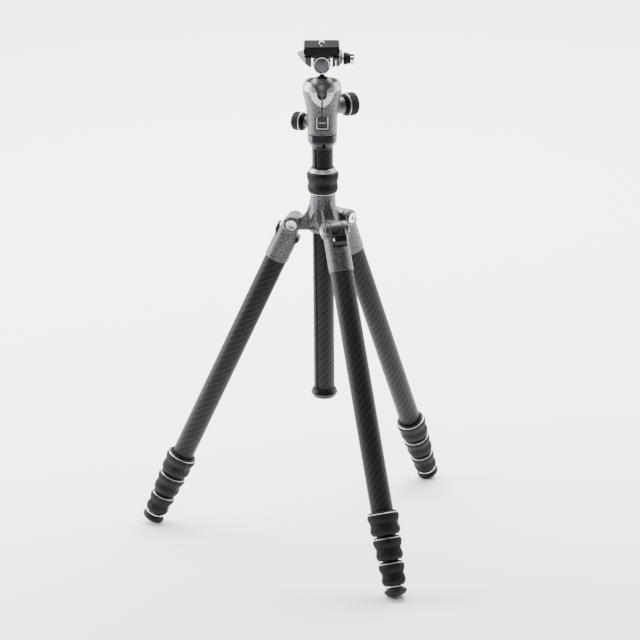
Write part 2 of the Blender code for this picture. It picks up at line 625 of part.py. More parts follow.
def make_clamp():
    """The clamp straddles the drum: a deck, two skirts and the fixed jaw; the right jaw slides."""
    top = DRUM_TOP + GAP + CLAMP_DECK
    under = top - CLAMP_DECK
    drop = top - SKIRT_DROP
    jaw_top = top + JAW_TOP_RISE
    grip_low = PLATE_FOOT_HALF + 0.0005
    grip_high = PLATE_WAIST + 0.0012
    body = profiled(
        "clamp_body",
        [
            (-WING_REACH, jaw_top), (-WING_REACH, jaw_top - 0.0010), (-SKIRT_OUTER, drop), (-SKIRT_INNER, drop),
            (-SKIRT_INNER, under), (SKIRT_INNER, under), (SKIRT_INNER, drop), (SKIRT_OUTER, drop),
            (SKIRT_OUTER, top), (-grip_low, top), (-grip_low, top + 0.0011), (-grip_high, jaw_top),
        ],
        CLAMP_HALF_DEPTH, TILT_FRAME, CASTING,
    )  # fmt: skip
    screw_z = top - CLAMP_SCREW_DROP
    hole = LOCK_SCREW_RADIUS + GAP
    bore = rod("clamp_bore", hole, 0.0100, 0.0180, TILT_FRAME, None, (0, 0, screw_z), LIE_ALONG_X, sides=16)
    fixing = rod("fixing_hole", 0.0021 + GAP, under - 0.001, top + 0.001, TILT_FRAME, None, sides=16)
    clear = DRUM_HALF - DRUM_RIM - GAP
    reliefs = [
        block(
            f"drum_relief_{side}", (-SKIRT_INNER + 0.0004, min(side * clear, side * 0.02), under - 0.001),
            (SKIRT_INNER - 0.0004, max(side * clear, side * 0.02), top + 0.001), TILT_FRAME, None,
        )
        for side in (-1, 1)
    ]  # fmt: skip
    cut(body, bore, fixing, *reliefs, *corner_cutters("wing", -0.0172, -WING_REACH, WING_TIP, TILT_FRAME))
    inner = SKIRT_OUTER + RUN
    shelf = top + GAP
    jaw = profiled(
        "clamp_jaw",
        [
            (inner, top), (grip_low, top), (grip_low, top + 0.0011), (grip_high, jaw_top),
            (JAW_REACH, jaw_top), (JAW_REACH, screw_z - 0.0030), (inner + 0.0012, drop + 0.0006),
            (inner, drop + 0.0006),
        ],
        CLAMP_HALF_DEPTH, JAW_FRAME, CASTING,
    )  # fmt: skip
    through = rod("jaw_bore", hole, 0.0100, 0.0300, JAW_FRAME, None, (0, 0, screw_z), LIE_ALONG_X, sides=16)
    cut(jaw, through, *corner_cutters("jaw", 0.0182, JAW_REACH, JAW_TIP, JAW_FRAME))
    axle = frame("clamp_axle", JAW_FRAME, (JAW_REACH + RUN, 0, screw_z), LIE_ALONG_X)
    profile = knob_profile(CLAMP_KNOB_RADIUS, CLAMP_KNOB_LENGTH, LOCK_SCREW_RADIUS + GAP)
    turned("clamp_knob", profile, axle, RUBBER, sides=ROUND)
    rod("clamp_screw", LOCK_SCREW_RADIUS, SKIRT_INNER + GAP - JAW_REACH, 0.0057, axle, STEEL, sides=16)
    head = [(0, top - GAP), (0.0021, top - GAP), (0.0021, DRUM_TOP + GAP), (0, DRUM_TOP + GAP)]
    turned("clamp_fixing_screw", head, TILT_FRAME, STEEL, sides=16)


def make_plate():
    base = PLATE_Z - BALL_Z
    waist = base + PLATE_FOOT
    top = waist + PLATE_BODY
    plate = profiled(
        "quick_plate",
        [
            (-PLATE_HALF_WIDTH, top), (-PLATE_HALF_WIDTH, waist + 0.0006), (-PLATE_WAIST, waist - 0.0006),
            (-PLATE_FOOT_HALF, base + 0.0008), (-PLATE_FOOT_HALF, base), (PLATE_FOOT_HALF, base),
            (PLATE_FOOT_HALF, base + 0.0008), (PLATE_WAIST, waist - 0.0006), (PLATE_HALF_WIDTH, waist + 0.0006),
            (PLATE_HALF_WIDTH, top),
        ],
        PLATE_HALF_DEPTH, PLATE_FRAME, BLACK_METAL,
    )  # fmt: skip
    shaft = CAMERA_SCREW_RADIUS + GAP
    head = CAMERA_SCREW_HEAD + GAP
    recess_top = base + 0.0040
    hole = rod("screw_hole", shaft, base - 0.002, top + 0.002, PLATE_FRAME, None)
    recess = rod("screw_recess", head, base - 0.002, recess_top, PLATE_FRAME, None)
    ends = [
        block(
            f"dovetail_end_{side}", (-0.03, min(side * PLATE_FOOT_DEPTH, side * 0.03), base - 0.002),
            (0.03, max(side * PLATE_FOOT_DEPTH, side * 0.03), waist - 0.0004), PLATE_FRAME, None,
        )
        for side in (-1, 1)
    ]  # fmt: skip
    cut(plate, hole, recess, *ends)
    half = (PLATE_HALF_WIDTH - PAD_INSET, PLATE_HALF_DEPTH - PAD_INSET)
    low = top + GAP
    pad = block("plate_pad", (-half[0], -half[1], low), (*half, low + PAD_HEIGHT), PLATE_FRAME, RUBBER)
    pad_hole = rod("pad_hole", shaft, low - 0.002, low + PAD_HEIGHT + 0.002, PLATE_FRAME, None)
    cut(pad, pad_hole)
    tip = low + PAD_HEIGHT + CAMERA_SCREW_PROUD
    profile = [
        (0, tip), (CAMERA_SCREW_RADIUS - 0.0006, tip), (CAMERA_SCREW_RADIUS, tip - 0.0008),
        (CAMERA_SCREW_RADIUS, recess_top - GAP), (CAMERA_SCREW_HEAD, recess_top - GAP),
        (CAMERA_SCREW_HEAD, base + GAP), (0, base + GAP),
    ]  # fmt: skip
    turned("camera_screw", profile, PLATE_FRAME, STEEL, sides=16)


def stand_on_floor():
    """Moves the whole tripod so that the origin is under the middle of its bounding box, on the floor."""
    bpy.context.view_layer.update()
    graph = bpy.context.evaluated_depsgraph_get()
    points = []
    for obj in PARTS.objects:
        if obj.type == "MESH":
            shape = obj.evaluated_get(graph)
            points += [shape.matrix_world @ v.co for v in shape.data.vertices]
    low = Vector([min(p[i] for p in points) for i in range(3)])
    high = Vector([max(p[i] for p in points) for i in range(3)])
    middle = (low + high) / 2
    SPIDER_FRAME.location -= Vector((middle.x, middle.y, low.z))
    bpy.context.view_layer.update()


for old in list(bpy.data.objects):
    bpy.data.objects.remove(old)
PARTS = collection("travel_tripod")
CUTTERS = collection("cutters")
CUTTERS.hide_render = True
CASTING = material("hammertone_casting", (0.22, 0.22, 0.22), 0.45, 0.6)
CARBON = material("carbon_tube", (0.03, 0.03, 0.03), 0.3, 0.0)
RUBBER = material("black_rubber", (0.015, 0.015, 0.015), 0.7, 0.0)
PLASTIC = material("black_plastic", (0.02, 0.02, 0.02), 0.5, 0.0)
STEEL = material("turned_steel", (0.65, 0.65, 0.65), 0.25, 1.0)
BALL_STEEL = material("coated_ball", (0.2, 0.2, 0.2), 0.35, 1.0)
TRIM = material("grey_trim", (0.62, 0.62, 0.62), 0.35, 0.3)
BLACK_METAL = material("black_anodised", (0.02, 0.02, 0.02), 0.4, 0.8)

SPIDER_FRAME = frame("tripod", None, (0, 0, PIVOT_HEIGHT))
COLUMN_FRAME = frame("column", SPIDER_FRAME)
PAN_FRAME = frame("pan", COLUMN_FRAME)
LEAN_FRAME = frame("lean", PAN_FRAME, (0, 0, BALL_Z))
TILT_FRAME = frame("tilt", LEAN_FRAME)
JAW_FRAME = frame("jaw", TILT_FRAME)
PLATE_FRAME = frame("plate", TILT_FRAME)

make_spider()
make_column_lock()
make_column()
make_head_base()
make_head_body()
make_ball()
make_head_knobs()
make_clamp()
make_plate()
for leg_number in range(1, LEG_COUNT + 1):
    make_leg(leg_number)
stand_on_floor()
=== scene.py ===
"""Travel tripod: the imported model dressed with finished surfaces, materials, a stage, lights and a camera.

Every new piece is worked out in its own body's frame in millimetres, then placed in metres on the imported
model. The head faces -Y. A leg's own frame has its origin on the pivot, +X outwards, +Y along the pivot
bolt and +Z back up along the leg, so places along the leg are negative heights.
"""

import json
import math

import bpy
import numpy as np
from mathutils import Matrix, Vector


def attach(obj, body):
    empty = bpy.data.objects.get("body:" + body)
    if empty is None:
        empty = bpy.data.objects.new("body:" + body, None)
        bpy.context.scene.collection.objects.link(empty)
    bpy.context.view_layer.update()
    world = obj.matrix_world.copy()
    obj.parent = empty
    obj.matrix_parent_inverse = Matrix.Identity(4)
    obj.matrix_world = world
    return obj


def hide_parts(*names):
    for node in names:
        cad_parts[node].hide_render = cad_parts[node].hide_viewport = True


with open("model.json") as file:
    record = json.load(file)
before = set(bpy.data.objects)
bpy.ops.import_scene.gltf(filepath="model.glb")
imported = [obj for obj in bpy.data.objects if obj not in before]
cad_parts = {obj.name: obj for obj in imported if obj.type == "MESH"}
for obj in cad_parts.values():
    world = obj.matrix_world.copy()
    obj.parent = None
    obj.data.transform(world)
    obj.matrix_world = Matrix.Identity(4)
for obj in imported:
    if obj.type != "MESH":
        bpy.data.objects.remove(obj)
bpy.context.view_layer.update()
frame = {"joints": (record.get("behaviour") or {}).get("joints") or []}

bl_info = {
    "name": "Travel Tripod",
    "version": (1, 0, 0),
    "blender": (4, 5, 0),
    "location": "3D View > Sidebar > Tripod",
    "description": "Builds the finished surfaces, materials and studio of a travel tripod with a ball head",
    "category": "Object",
}

CAMERA_LENS = 144.0  # mm, on a 36 mm sensor
CAMERA_TURN = (-0.090, 18.69, -0.476)  # yaw, pitch and roll in degrees
CAMERA_BACK, CAMERA_HEIGHT = 2.690, 1.162  # metres in front of the column, and above the floor
SURROUND = 0.12  # strength of the even light from all round

JOINTS = {joint["name"]: joint for joint in frame["joints"]}
LEGS = (1, 2, 3)
AXIS_X, AXIS_Y = JOINTS["pan"]["pos_m"][:2]
PIVOT_Z = JOINTS["leg_1_fold"]["pos_m"][2]
BALL_AT = JOINTS["ball_tilt"]["pos_m"]


# ---------------------------------------------------------------- places
def frame_matrix(origin, along, out):
    """A 4 by 4 place whose +Z is along and whose +X is as near to out as it can be."""
    z = Vector(along).normalized()
    x = Vector(out)
    x = (x - z * x.dot(z)).normalized()
    y = z.cross(x)
    turn = Matrix((x, y, z)).transposed().to_4x4()
    return np.array(Matrix.Translation(origin) @ turn)


def leg_place(leg):
    """A leg's own frame, from its fold's pivot, the way its sections slide and the way its stop pulls."""
    down = Vector(JOINTS[f"leg_{leg}_section_2_slide"]["axis"])
    return frame_matrix(JOINTS[f"leg_{leg}_fold"]["pos_m"], -down, JOINTS[f"leg_{leg}_stop_slide"]["axis"])


def knob_place(joint):
    """A knob's own frame, with +Z along the joint's axis."""
    return frame_matrix(JOINTS[joint]["pos_m"], JOINTS[joint]["axis"], (0, 0, 1))


def leg_heading(leg):
    """The direction of a leg from the column, in radians from +X."""
    out = JOINTS[f"leg_{leg}_fold"]["pos_m"]
    return math.atan2(out[1] - AXIS_Y, out[0] - AXIS_X)


COLUMN = frame_matrix((AXIS_X, AXIS_Y, PIVOT_Z), (0, 0, 1), (1, 0, 0))
HEAD = frame_matrix(BALL_AT, (0, 0, 1), (1, 0, 0))


# ---------------------------------------------------------------- mesh building
def new_object(name, points, faces, place, material, body, node=None, slot=None, uv=None, sharp=None):
    """Puts arrays of points (mm, own frame) and of faces into a mesh, in place, riding on its body."""
    mesh = bpy.data.meshes.new(name)
    world = np.asarray(points, float) * 0.001 @ place[:3, :3].T + place[:3, 3]
    counts = np.concatenate([np.full(len(block), block.shape[1]) for block in faces])
    corners = np.concatenate([block.ravel() for block in faces])
    mesh.vertices.add(len(world))
    mesh.vertices.foreach_set("co", world.astype(np.float32).ravel())
    mesh.loops.add(len(corners))
    mesh.loops.foreach_set("vertex_index", corners.astype(np.int32))
    mesh.polygons.add(len(counts))
    mesh.polygons.foreach_set("loop_start", (np.cumsum(counts) - counts).astype(np.int32))
    mesh.update(calc_edges=True)
    if uv is not None:
        layer = mesh.uv_layers.new(name="along_piece")
        layer.data.foreach_set("uv", uv.astype(np.float32).ravel())
    mesh.validate()
    mesh.shade_smooth()
    if sharp:
        mesh.set_sharp_from_angle(angle=math.radians(sharp))
    mesh.materials.append(material)
    made = bpy.data.objects.new(name, mesh)
    bpy.context.scene.collection.objects.link(made)
    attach(made, body)
    if node:
        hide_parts(*([node] if isinstance(node, str) else node))
    return made


def eased(profile, radius, steps=4):
    """A profile with its inner corners rounded: each becomes a parabola between points set back by radius."""
    points = np.array(profile, float)
    before = points[:-2] - points[1:-1]
    after = points[2:] - points[1:-1]
    long_before = np.linalg.norm(before, axis=1, keepdims=True)
    long_after = np.linalg.norm(after, axis=1, keepdims=True)
    back = np.minimum(radius, 0.45 * np.minimum(long_before, long_after))
    start = points[1:-1] + before / long_before * back
    end = points[1:-1] + after / long_after * back
    t = np.linspace(0, 1, steps + 1)[None, :, None]
    curve = (1 - t) ** 2 * start[:, None] + 2 * t * (1 - t) * points[1:-1, None] + t**2 * end[:, None]
    return np.concatenate([points[:1], curve.reshape(-1, 2), points[-1:]])


def eased_ring(profile, radius, steps=4):
    """The same for a closed profile, whose last point joins its first."""
    points = np.array(profile, float)
    wrapped = np.concatenate([points[-1:], points, points[:1]])
    return eased(wrapped, radius, steps)[1:-1]


def spaced(profile, step):
    """The profile with extra points, so that no two are further apart than step along it."""
    points = np.array(profile, float)
    run = np.concatenate([[0], np.cumsum(np.linalg.norm(np.diff(points, axis=0), axis=1))])
    marks = np.union1d(run, np.linspace(0, run[-1], max(2, int(run[-1] / step))))
    return np.stack([np.interp(marks, run, points[:, i]) for i in (0, 1)], axis=1)


def grid_faces(rows, columns, ring):
    """Four-sided faces of a grid that closes on itself along its columns, and along its rows for a ring."""
    i, j = np.meshgrid(np.arange(rows if ring else rows - 1), np.arange(columns), indexing="ij")
    i, j = i.ravel(), j.ravel()
    below, beside = (i + 1) % rows, (j + 1) % columns
    quads = np.stack(
        [i * columns + j, below * columns + j, below * columns + beside, i * columns + beside], 1,
    )  # fmt: skip
    return quads, i, j


def turned(name, profile, place, material, body, sides=96, ring=False, shape=None, weave=None, **more):
    """A surface turned about Z: each profile point (radius, height), from the top down the outer side, goes
    round a full circle. shape(angle, radius, height) may move the surface. Ends on the axis close to a
    pole."""
    profile = np.array(profile, float)
    top_pole = not ring and profile[0, 0] < 1e-6
    low_pole = not ring and profile[-1, 0] < 1e-6
    rows = profile[int(top_pole) : len(profile) - int(low_pole)]
    angle = np.arange(sides) * math.tau / sides
    a, r = np.meshgrid(angle, rows[:, 0])
    z = np.repeat(rows[:, 1:2], sides, axis=1)
    if shape:
        r, z = shape(a, r, z)
    points = np.stack([r * np.cos(a), r * np.sin(a), z], -1).reshape(-1, 3)
    quads, i, j = grid_faces(len(rows), sides, ring)
    faces = [quads]
    uv = None
    if weave:
        run = np.concatenate([[0], np.cumsum(np.linalg.norm(np.diff(rows, axis=0), axis=1))])
        run = np.append(run, run[-1] + 1)
        across = np.stack([j, j, j + 1, j + 1], 1) * (math.tau * weave / sides)
        along = np.stack([run[i], run[i + 1], run[i + 1], run[i]], 1)
        uv = np.stack([across, along], -1).reshape(-1, 2) * 0.001
    k = np.arange(sides)
    if top_pole:
        points = np.append(points, [[0, 0, profile[0, 1]]], axis=0)
        faces.append(np.stack([np.full(sides, len(points) - 1), k, (k + 1) % sides], 1))
    if low_pole:
        points = np.append(points, [[0, 0, profile[-1, 1]]], axis=0)
        last = (len(rows) - 1) * sides
        faces.append(np.stack([np.full(sides, len(points) - 1), last + (k + 1) % sides, last + k], 1))
    if uv is not None and len(faces) > 1:
        uv = np.append(uv, np.zeros((3 * sides * (len(faces) - 1), 2)), axis=0)
    return new_object(name, points, faces, place, material, body, uv=uv, **more)


def slab(name, outline, half_depth, place, material, body, edge=0.3, **more):
    """A flat outline in X and Z carried along Y to both sides, with its edges rounded by a bevel."""
    outline = np.array(outline, float)
    turn = np.roll(outline, -1, axis=0)
    if (outline[:, 0] * turn[:, 1] - turn[:, 0] * outline[:, 1]).sum() < 0:
        outline = outline[::-1]
    count = len(outline)
    front = np.stack([outline[:, 0], np.full(count, -half_depth), outline[:, 1]], 1)
    back = front * (1, -1, 1)
    k = np.arange(count)
    sides = np.stack([k, (k + 1) % count, count + (k + 1) % count, count + k], 1)[:, ::-1]
    faces = [sides, k[None, :], (count + k)[None, ::-1]]
    made = new_object(name, np.concatenate([front, back]), faces, place, material, body, sharp=35, **more)
    bevel = made.modifiers.new("Rounded edges", "BEVEL")
    bevel.width = edge * 0.001
    bevel.segments = 3
    bevel.limit_method = "ANGLE"
    bevel.angle_limit = math.radians(28)
    bevel.harden_normals = True
    return made


# ---------------------------------------------------------------- shapes given by a distance
def soft_min(a, b, blend):
    """The smaller of two distances, eased into each other over the width of the blend: a fillet."""
    share = np.clip(0.5 + 0.5 * (b - a) / blend, 0, 1)
    return b * (1 - share) + a * share - blend * share * (1 - share)


def soft_max(a, b, blend):
    return -soft_min(-a, -b, blend)


def outline_distance(u, v, outline):
    """Signed distance to a closed outline: the least distance to its sides, negative inside."""
    outline = np.array(outline, float)
    nearest = np.full(np.shape(u), 1e9)
    inside = np.zeros(np.shape(u), bool)
    for a, b in zip(outline, np.roll(outline, -1, axis=0)):
        side = b - a
        t = np.clip(((u - a[0]) * side[0] + (v - a[1]) * side[1]) / (side @ side), 0, 1)
        nearest = np.minimum(nearest, (u - a[0] - t * side[0]) ** 2 + (v - a[1] - t * side[1]) ** 2)
        if a[1] != b[1]:
            crossing = (v >= min(a[1], b[1])) & (v < max(a[1], b[1]))
            inside ^= crossing & (u < a[0] + (v - a[1]) * side[0] / side[1])
    return np.where(inside, -1, 1) * np.sqrt(nearest)


def block_distance(x, y, z, centre, half, edge=0.0):
    """Distance to a box with rounded edges: how far the point is outside each pair of faces, combined."""
    q = np.stack([np.abs(c - m) - h + edge for c, m, h in zip((x, y, z), centre, half)])
    return np.sqrt((np.maximum(q, 0) ** 2).sum(0)) + np.minimum(q.max(0), 0) - edge


def rod_distance(across, along, radius, low, high, edge=0.5):
    """Distance to a cylinder with rounded ends, from a point's distance across and along its axis."""
    u = across - radius + edge
    v = np.abs(along - (low + high) / 2) - (high - low) / 2 + edge
    return np.hypot(np.maximum(u, 0), np.maximum(v, 0)) + np.minimum(np.maximum(u, v), 0) - edge


def cast_piece(name, distance, low, high, step, place, material, body, **more):
    """A surface where distance(x, y, z) is zero. Each grid cell that it passes through gets one point, at the
    mean of its crossings of the cell's edges, which then slides down the distance's slope onto the
    surface."""
    axes = [np.arange(a, b + step, step) for a, b in zip(low, high)]
    field = distance(*np.meshgrid(*axes, indexing="ij"))
    cells = tuple(n - 1 for n in field.shape)
    total, count = np.zeros((*cells, 3)), np.zeros(cells)
    index = np.stack(np.meshgrid(*[np.arange(n) for n in field.shape], indexing="ij"), -1)
    crossings = []
    for axis in range(3):
        near = np.take(field, range(cells[axis]), axis)
        far = np.take(field, range(1, cells[axis] + 1), axis)
        hit = (near < 0) != (far < 0)
        share = np.where(hit, near / np.where(hit, near - far, 1), 0)
        at = np.take(index, range(cells[axis]), axis).astype(float)
        at[..., axis] += share
        at *= hit[..., None]
        others = [(axis + 1) % 3, (axis + 2) % 3]
        for shift in ((0, 0), (0, 1), (1, 0), (1, 1)):
            pick = [slice(None)] * 3
            for other, s in zip(others, shift):
                pick[other] = slice(s, s + cells[other])
            total += at[tuple(pick)]
            count += hit[tuple(pick)]
        crossings.append((hit, near, others))
    used = count > 0
    number = np.cumsum(used).reshape(cells) - 1
    points = np.array(low) + step * total[used] / count[used][:, None]
    quads = []
    for axis, (hit, near, others) in enumerate(crossings):
        where = np.argwhere(hit)
        inner = np.all([(where[:, o] > 0) & (where[:, o] < cells[o]) for o in others], axis=0)
        where = where[inner]
        ring = []
        for du, dv in ((1, 1), (0, 1), (0, 0), (1, 0)):
            cell = where.copy()
            cell[:, others[0]] -= du
            cell[:, others[1]] -= dv
            ring.append(number[tuple(cell.T)])
        quad = np.stack(ring, 1)
        outward = near[tuple(where.T)] < 0
        quads.append(np.where(outward[:, None], quad, quad[:, ::-1]))
    small = 0.02
    for _ in range(2):
        x, y, z = points.T
        here = distance(x, y, z)
        slope = np.stack(
            [distance(x + small, y, z), distance(x, y + small, z), distance(x, y, z + small)], 1
        )
        slope = (slope - here[:, None]) / small
        length = np.maximum((slope**2).sum(1), 0.2)
        move = slope * (here / length)[:, None]
        points = points - np.clip(move, -0.4 * step, 0.4 * step)
    return new_object(name, points, [np.concatenate(quads)], place, material, body, **more)


# ---------------------------------------------------------------- materials
def linear(code):
    """An sRGB hex colour as linear red, green, blue and alpha."""
    part = np.array([int(code[i : i + 2], 16) for i in (1, 3, 5)]) / 255
    part = np.where(part <= 0.04045, part / 12.92, ((part + 0.055) / 1.055) ** 2.4)
    return (*part, 1.0)


def put(tree, kind, values=None, links=None, **settings):
    """Adds a node, sets its properties and unlinked inputs, and links the rest."""
    made = tree.nodes.new(kind)
    for key, value in settings.items():
        setattr(made, key, value)
    for key, value in (values or {}).items():
        made.inputs[key].default_value = value
    for key, source in (links or {}).items():
        tree.links.new(source, made.inputs[key])
    return made


def new_material(name, colour, metallic, roughness, **shader):
    """A named material with its shader's plain values set; returns it with its tree and shader."""
    made = bpy.data.materials.new(name)
    made.use_nodes = True
    tree = made.node_tree
    bsdf = tree.nodes["Principled BSDF"]
    bsdf.inputs["Base Color"].default_value = linear(colour)
    bsdf.inputs["Metallic"].default_value = metallic
    bsdf.inputs["Roughness"].default_value = roughness
    for key, value in shader.items():
        bsdf.inputs[key.replace("_", " ").title().replace("Ior", "IOR")].default_value = value
    return made, tree, bsdf


def grain(tree, bsdf, size_mm, depth_mm, colours=None, rough=None, detail=3.0, kind="noise", strength=1.0):
    """A fine surface pattern on object coordinates: a bump of the stated grain, and a spread of colour or of
    roughness read from the same grain."""
    where = put(tree, "ShaderNodeTexCoord")
    if kind == "noise":
        pattern = put(
            tree, "ShaderNodeTexNoise", {"Scale": 1000 / size_mm, "Detail": detail, "Roughness": 0.55},
            {"Vector": where.outputs["Object"]},
        )  # fmt: skip
        height = pattern.outputs["Fac"]
    else:
        pattern = put(
            tree, "ShaderNodeTexVoronoi", {"Scale": 1000 / size_mm, "Smoothness": 0.7, "Randomness": 1.0},
            {"Vector": where.outputs["Object"]}, feature="SMOOTH_F1",
        )  # fmt: skip
        height = pattern.outputs["Distance"]
    bump = put(
        tree, "ShaderNodeBump", {"Strength": strength, "Distance": depth_mm * 0.001}, {"Height": height}
    )
    tree.links.new(bump.outputs["Normal"], bsdf.inputs["Normal"])
    if colours:
        ramp = put(tree, "ShaderNodeValToRGB", None, {"Fac": height})
        ramp.color_ramp.elements[0].position = 0.3
        ramp.color_ramp.elements[0].color = linear(colours[0])
        ramp.color_ramp.elements[1].position = 0.7
        ramp.color_ramp.elements[1].color = linear(colours[1])
        tree.links.new(ramp.outputs["Color"], bsdf.inputs["Base Color"])
    if rough:
        spread = put(
            tree, "ShaderNodeMapRange",
            {"From Min": 0.3, "From Max": 0.7, "To Min": rough[0], "To Max": rough[1]},
            {"Value": height},
        )  # fmt: skip
        tree.links.new(spread.outputs["Result"], bsdf.inputs["Roughness"])


def carbon_fibre():
    """Woven carbon fibre under a thin dull lacquer: charcoal tubes whose twill shows only up close."""
    made, tree, bsdf = new_material(
        "lacquered_carbon_fibre", "#18191b", 0.0, 0.5, specular_ior_level=0.12, coat_weight=0.03,
        coat_roughness=0.22,
        coat_ior=1.5,
    )  # fmt: skip
    tow = 0.0021  # one yarn bundle is 2.1 mm wide
    where = put(tree, "ShaderNodeUVMap", uv_map="along_piece")
    split = put(tree, "ShaderNodeSeparateXYZ", None, {"Vector": where.outputs["UV"]})
    threads = [
        put(tree, "ShaderNodeMath", {1: tow}, {0: split.outputs[i]}, operation="DIVIDE") for i in (0, 1)
    ]  # fmt: skip
    steps = [put(tree, "ShaderNodeMath", None, {0: t.outputs[0]}, operation="FLOOR") for t in threads]
    both = put(
        tree, "ShaderNodeMath", None, {0: steps[0].outputs[0], 1: steps[1].outputs[0]}, operation="ADD",
    )  # fmt: skip
    twill = put(tree, "ShaderNodeMath", {1: 4.0}, {0: both.outputs[0]}, operation="FLOORED_MODULO")
    over = put(tree, "ShaderNodeMath", {1: 1.5}, {0: twill.outputs[0]}, operation="LESS_THAN")
    waves = []
    for thread in threads:
        turn = put(tree, "ShaderNodeMath", {1: math.pi}, {0: thread.outputs[0]}, operation="MULTIPLY")
        wave = put(tree, "ShaderNodeMath", None, {0: turn.outputs[0]}, operation="SINE")
        waves.append(put(tree, "ShaderNodeMath", None, {0: wave.outputs[0]}, operation="ABSOLUTE"))
    height = put(
        tree, "ShaderNodeMix", None,
        {"Factor": over.outputs[0], "A": waves[0].outputs[0], "B": waves[1].outputs[0]}, data_type="FLOAT",
    )  # fmt: skip
    shade = put(
        tree, "ShaderNodeMix", {"A": linear("#1b1c1e"), "B": linear("#232426")}, {"Factor": over.outputs[0]},
        data_type="RGBA",
    )  # fmt: skip
    bump = put(
        tree, "ShaderNodeBump", {"Strength": 0.2, "Distance": 0.00008}, {"Height": height.outputs["Result"]}
    )
    tree.links.new(shade.outputs["Result"], bsdf.inputs["Base Color"])
    tree.links.new(bump.outputs["Normal"], bsdf.inputs["Normal"])
    return made


def make_materials():
    """Every finish on the tripod, by name."""
    finishes = {"carbon": carbon_fibre()}
    # Hammertone enamel baked over a magnesium casting: silver-grey, orange-peel dimples about 1.1 mm apart.
    made, tree, bsdf = new_material(
        "hammertone_enamel", "#4a4b4f", 0.5, 0.4, coat_weight=0.12, coat_roughness=0.18,
    )  # fmt: skip
    grain(tree, bsdf, 1.3, 0.3, ("#1b1c1e", "#626366"), (0.32, 0.5), detail=1.0, strength=1.0)
    finishes["hammertone"] = made
    # Bead-blasted and clear-anodised aluminium: pale, soft gloss, a grit too fine to see but as a satin
    # bloom.
    made, tree, bsdf = new_material("satin_anodised_aluminium", "#b4b5b8", 0.85, 0.42)
    grain(tree, bsdf, 0.35, 0.008, None, (0.34, 0.44))
    finishes["satin"] = made
    # Lathe-turned aluminium, polished on the edge that catches the light.
    made, tree, bsdf = new_material("polished_aluminium", "#e4e4e6", 1.0, 0.14)
    grain(tree, bsdf, 0.6, 0.003, None, (0.11, 0.19))
    finishes["polished"] = made
    # Stainless fasteners, turned and tumbled.
    made, tree, bsdf = new_material("stainless_steel", "#cfd0d2", 1.0, 0.22)
    grain(tree, bsdf, 0.5, 0.004, None, (0.18, 0.3))
    finishes["steel"] = made
    # Hard-anodised ball, lapped to a dull pewter sheen.
    made, tree, bsdf = new_material("hard_anodised_ball", "#6a6b6e", 0.6, 0.4)
    grain(tree, bsdf, 0.4, 0.003, None, (0.36, 0.44))
    finishes["ball"] = made
    # Graphite-grey face with concentric turning marks, which stretch a highlight into a wedge.
    made, tree, bsdf = new_material("turned_graphite_face", "#6b6c6f", 1.0, 0.34, anisotropic=0.85)
    run = put(tree, "ShaderNodeTangent", direction_type="UV_MAP", uv_map="along_piece")
    tree.links.new(run.outputs["Tangent"], bsdf.inputs["Tangent"])
    grain(tree, bsdf, 0.5, 0.002, None, (0.3, 0.38))
    finishes["face"] = made
    # Etched panel in a dark warm grey.
    made, tree, bsdf = new_material("etched_panel", "#2e2f31", 0.6, 0.45)
    grain(tree, bsdf, 0.4, 0.01, ("#232425", "#3c3d3f"), (0.38, 0.52))
    finishes["badge"] = made
    # Black nickel on the panning base: a dark mirror.
    made, tree, bsdf = new_material("black_nickel", "#2c2c2f", 1.0, 0.12)
    grain(tree, bsdf, 0.7, 0.002, None, (0.08, 0.14))
    finishes["nickel"] = made
    # Moulded thermoplastic rubber on the grips: soft black with a faint spark-eroded grain.
    made, tree, bsdf = new_material("moulded_rubber_grip", "#070708", 0.0, 0.56, specular_ior_level=0.2)
    grain(tree, bsdf, 0.45, 0.02, ("#050506", "#0b0b0c"), (0.5, 0.64))
    finishes["rubber"] = made
    # Harder rubber on the feet, scuffed where they meet the ground.
    made, tree, bsdf = new_material("foot_rubber", "#0e0e0f", 0.0, 0.66, specular_ior_level=0.3)
    grain(tree, bsdf, 0.8, 0.04, ("#0a0a0b", "#151516"), (0.58, 0.76))
    finishes["foot"] = made
    # Glass-filled nylon for stops, caps and liners.
    made, tree, bsdf = new_material("glass_filled_nylon", "#09090a", 0.0, 0.4, specular_ior_level=0.3)
    grain(tree, bsdf, 0.3, 0.01, None, (0.34, 0.46))
    finishes["nylon"] = made
    # Black-anodised plate, fine-blasted.
    made, tree, bsdf = new_material("black_anodised_aluminium", "#070708", 0.2, 0.36, specular_ior_level=0.3)
    grain(tree, bsdf, 0.35, 0.008, None, (0.3, 0.4))
    finishes["plate"] = made
    # The plate's rubber pad: dull black that lifts to grey under the overhead light.
    made, tree, bsdf = new_material("ribbed_rubber_pad", "#060607", 0.0, 0.74, specular_ior_level=0.08)
    grain(tree, bsdf, 0.5, 0.02, ("#040405", "#0a0a0b"), (0.66, 0.8))
    finishes["pad"] = made
    # Black enamel in cut marks.
    made, tree, bsdf = new_material("black_mark_enamel", "#0c0c0c", 0.0, 0.5)
    grain(tree, bsdf, 0.5, 0.004)
    finishes["mark"] = made
    # Seamless studio paper.
    made, tree, bsdf = new_material("seamless_paper", "#fbfbfb", 0.0, 0.85)
    grain(tree, bsdf, 4.0, 0.02)
    finishes["paper"] = made
    return finishes


FINISH = {}


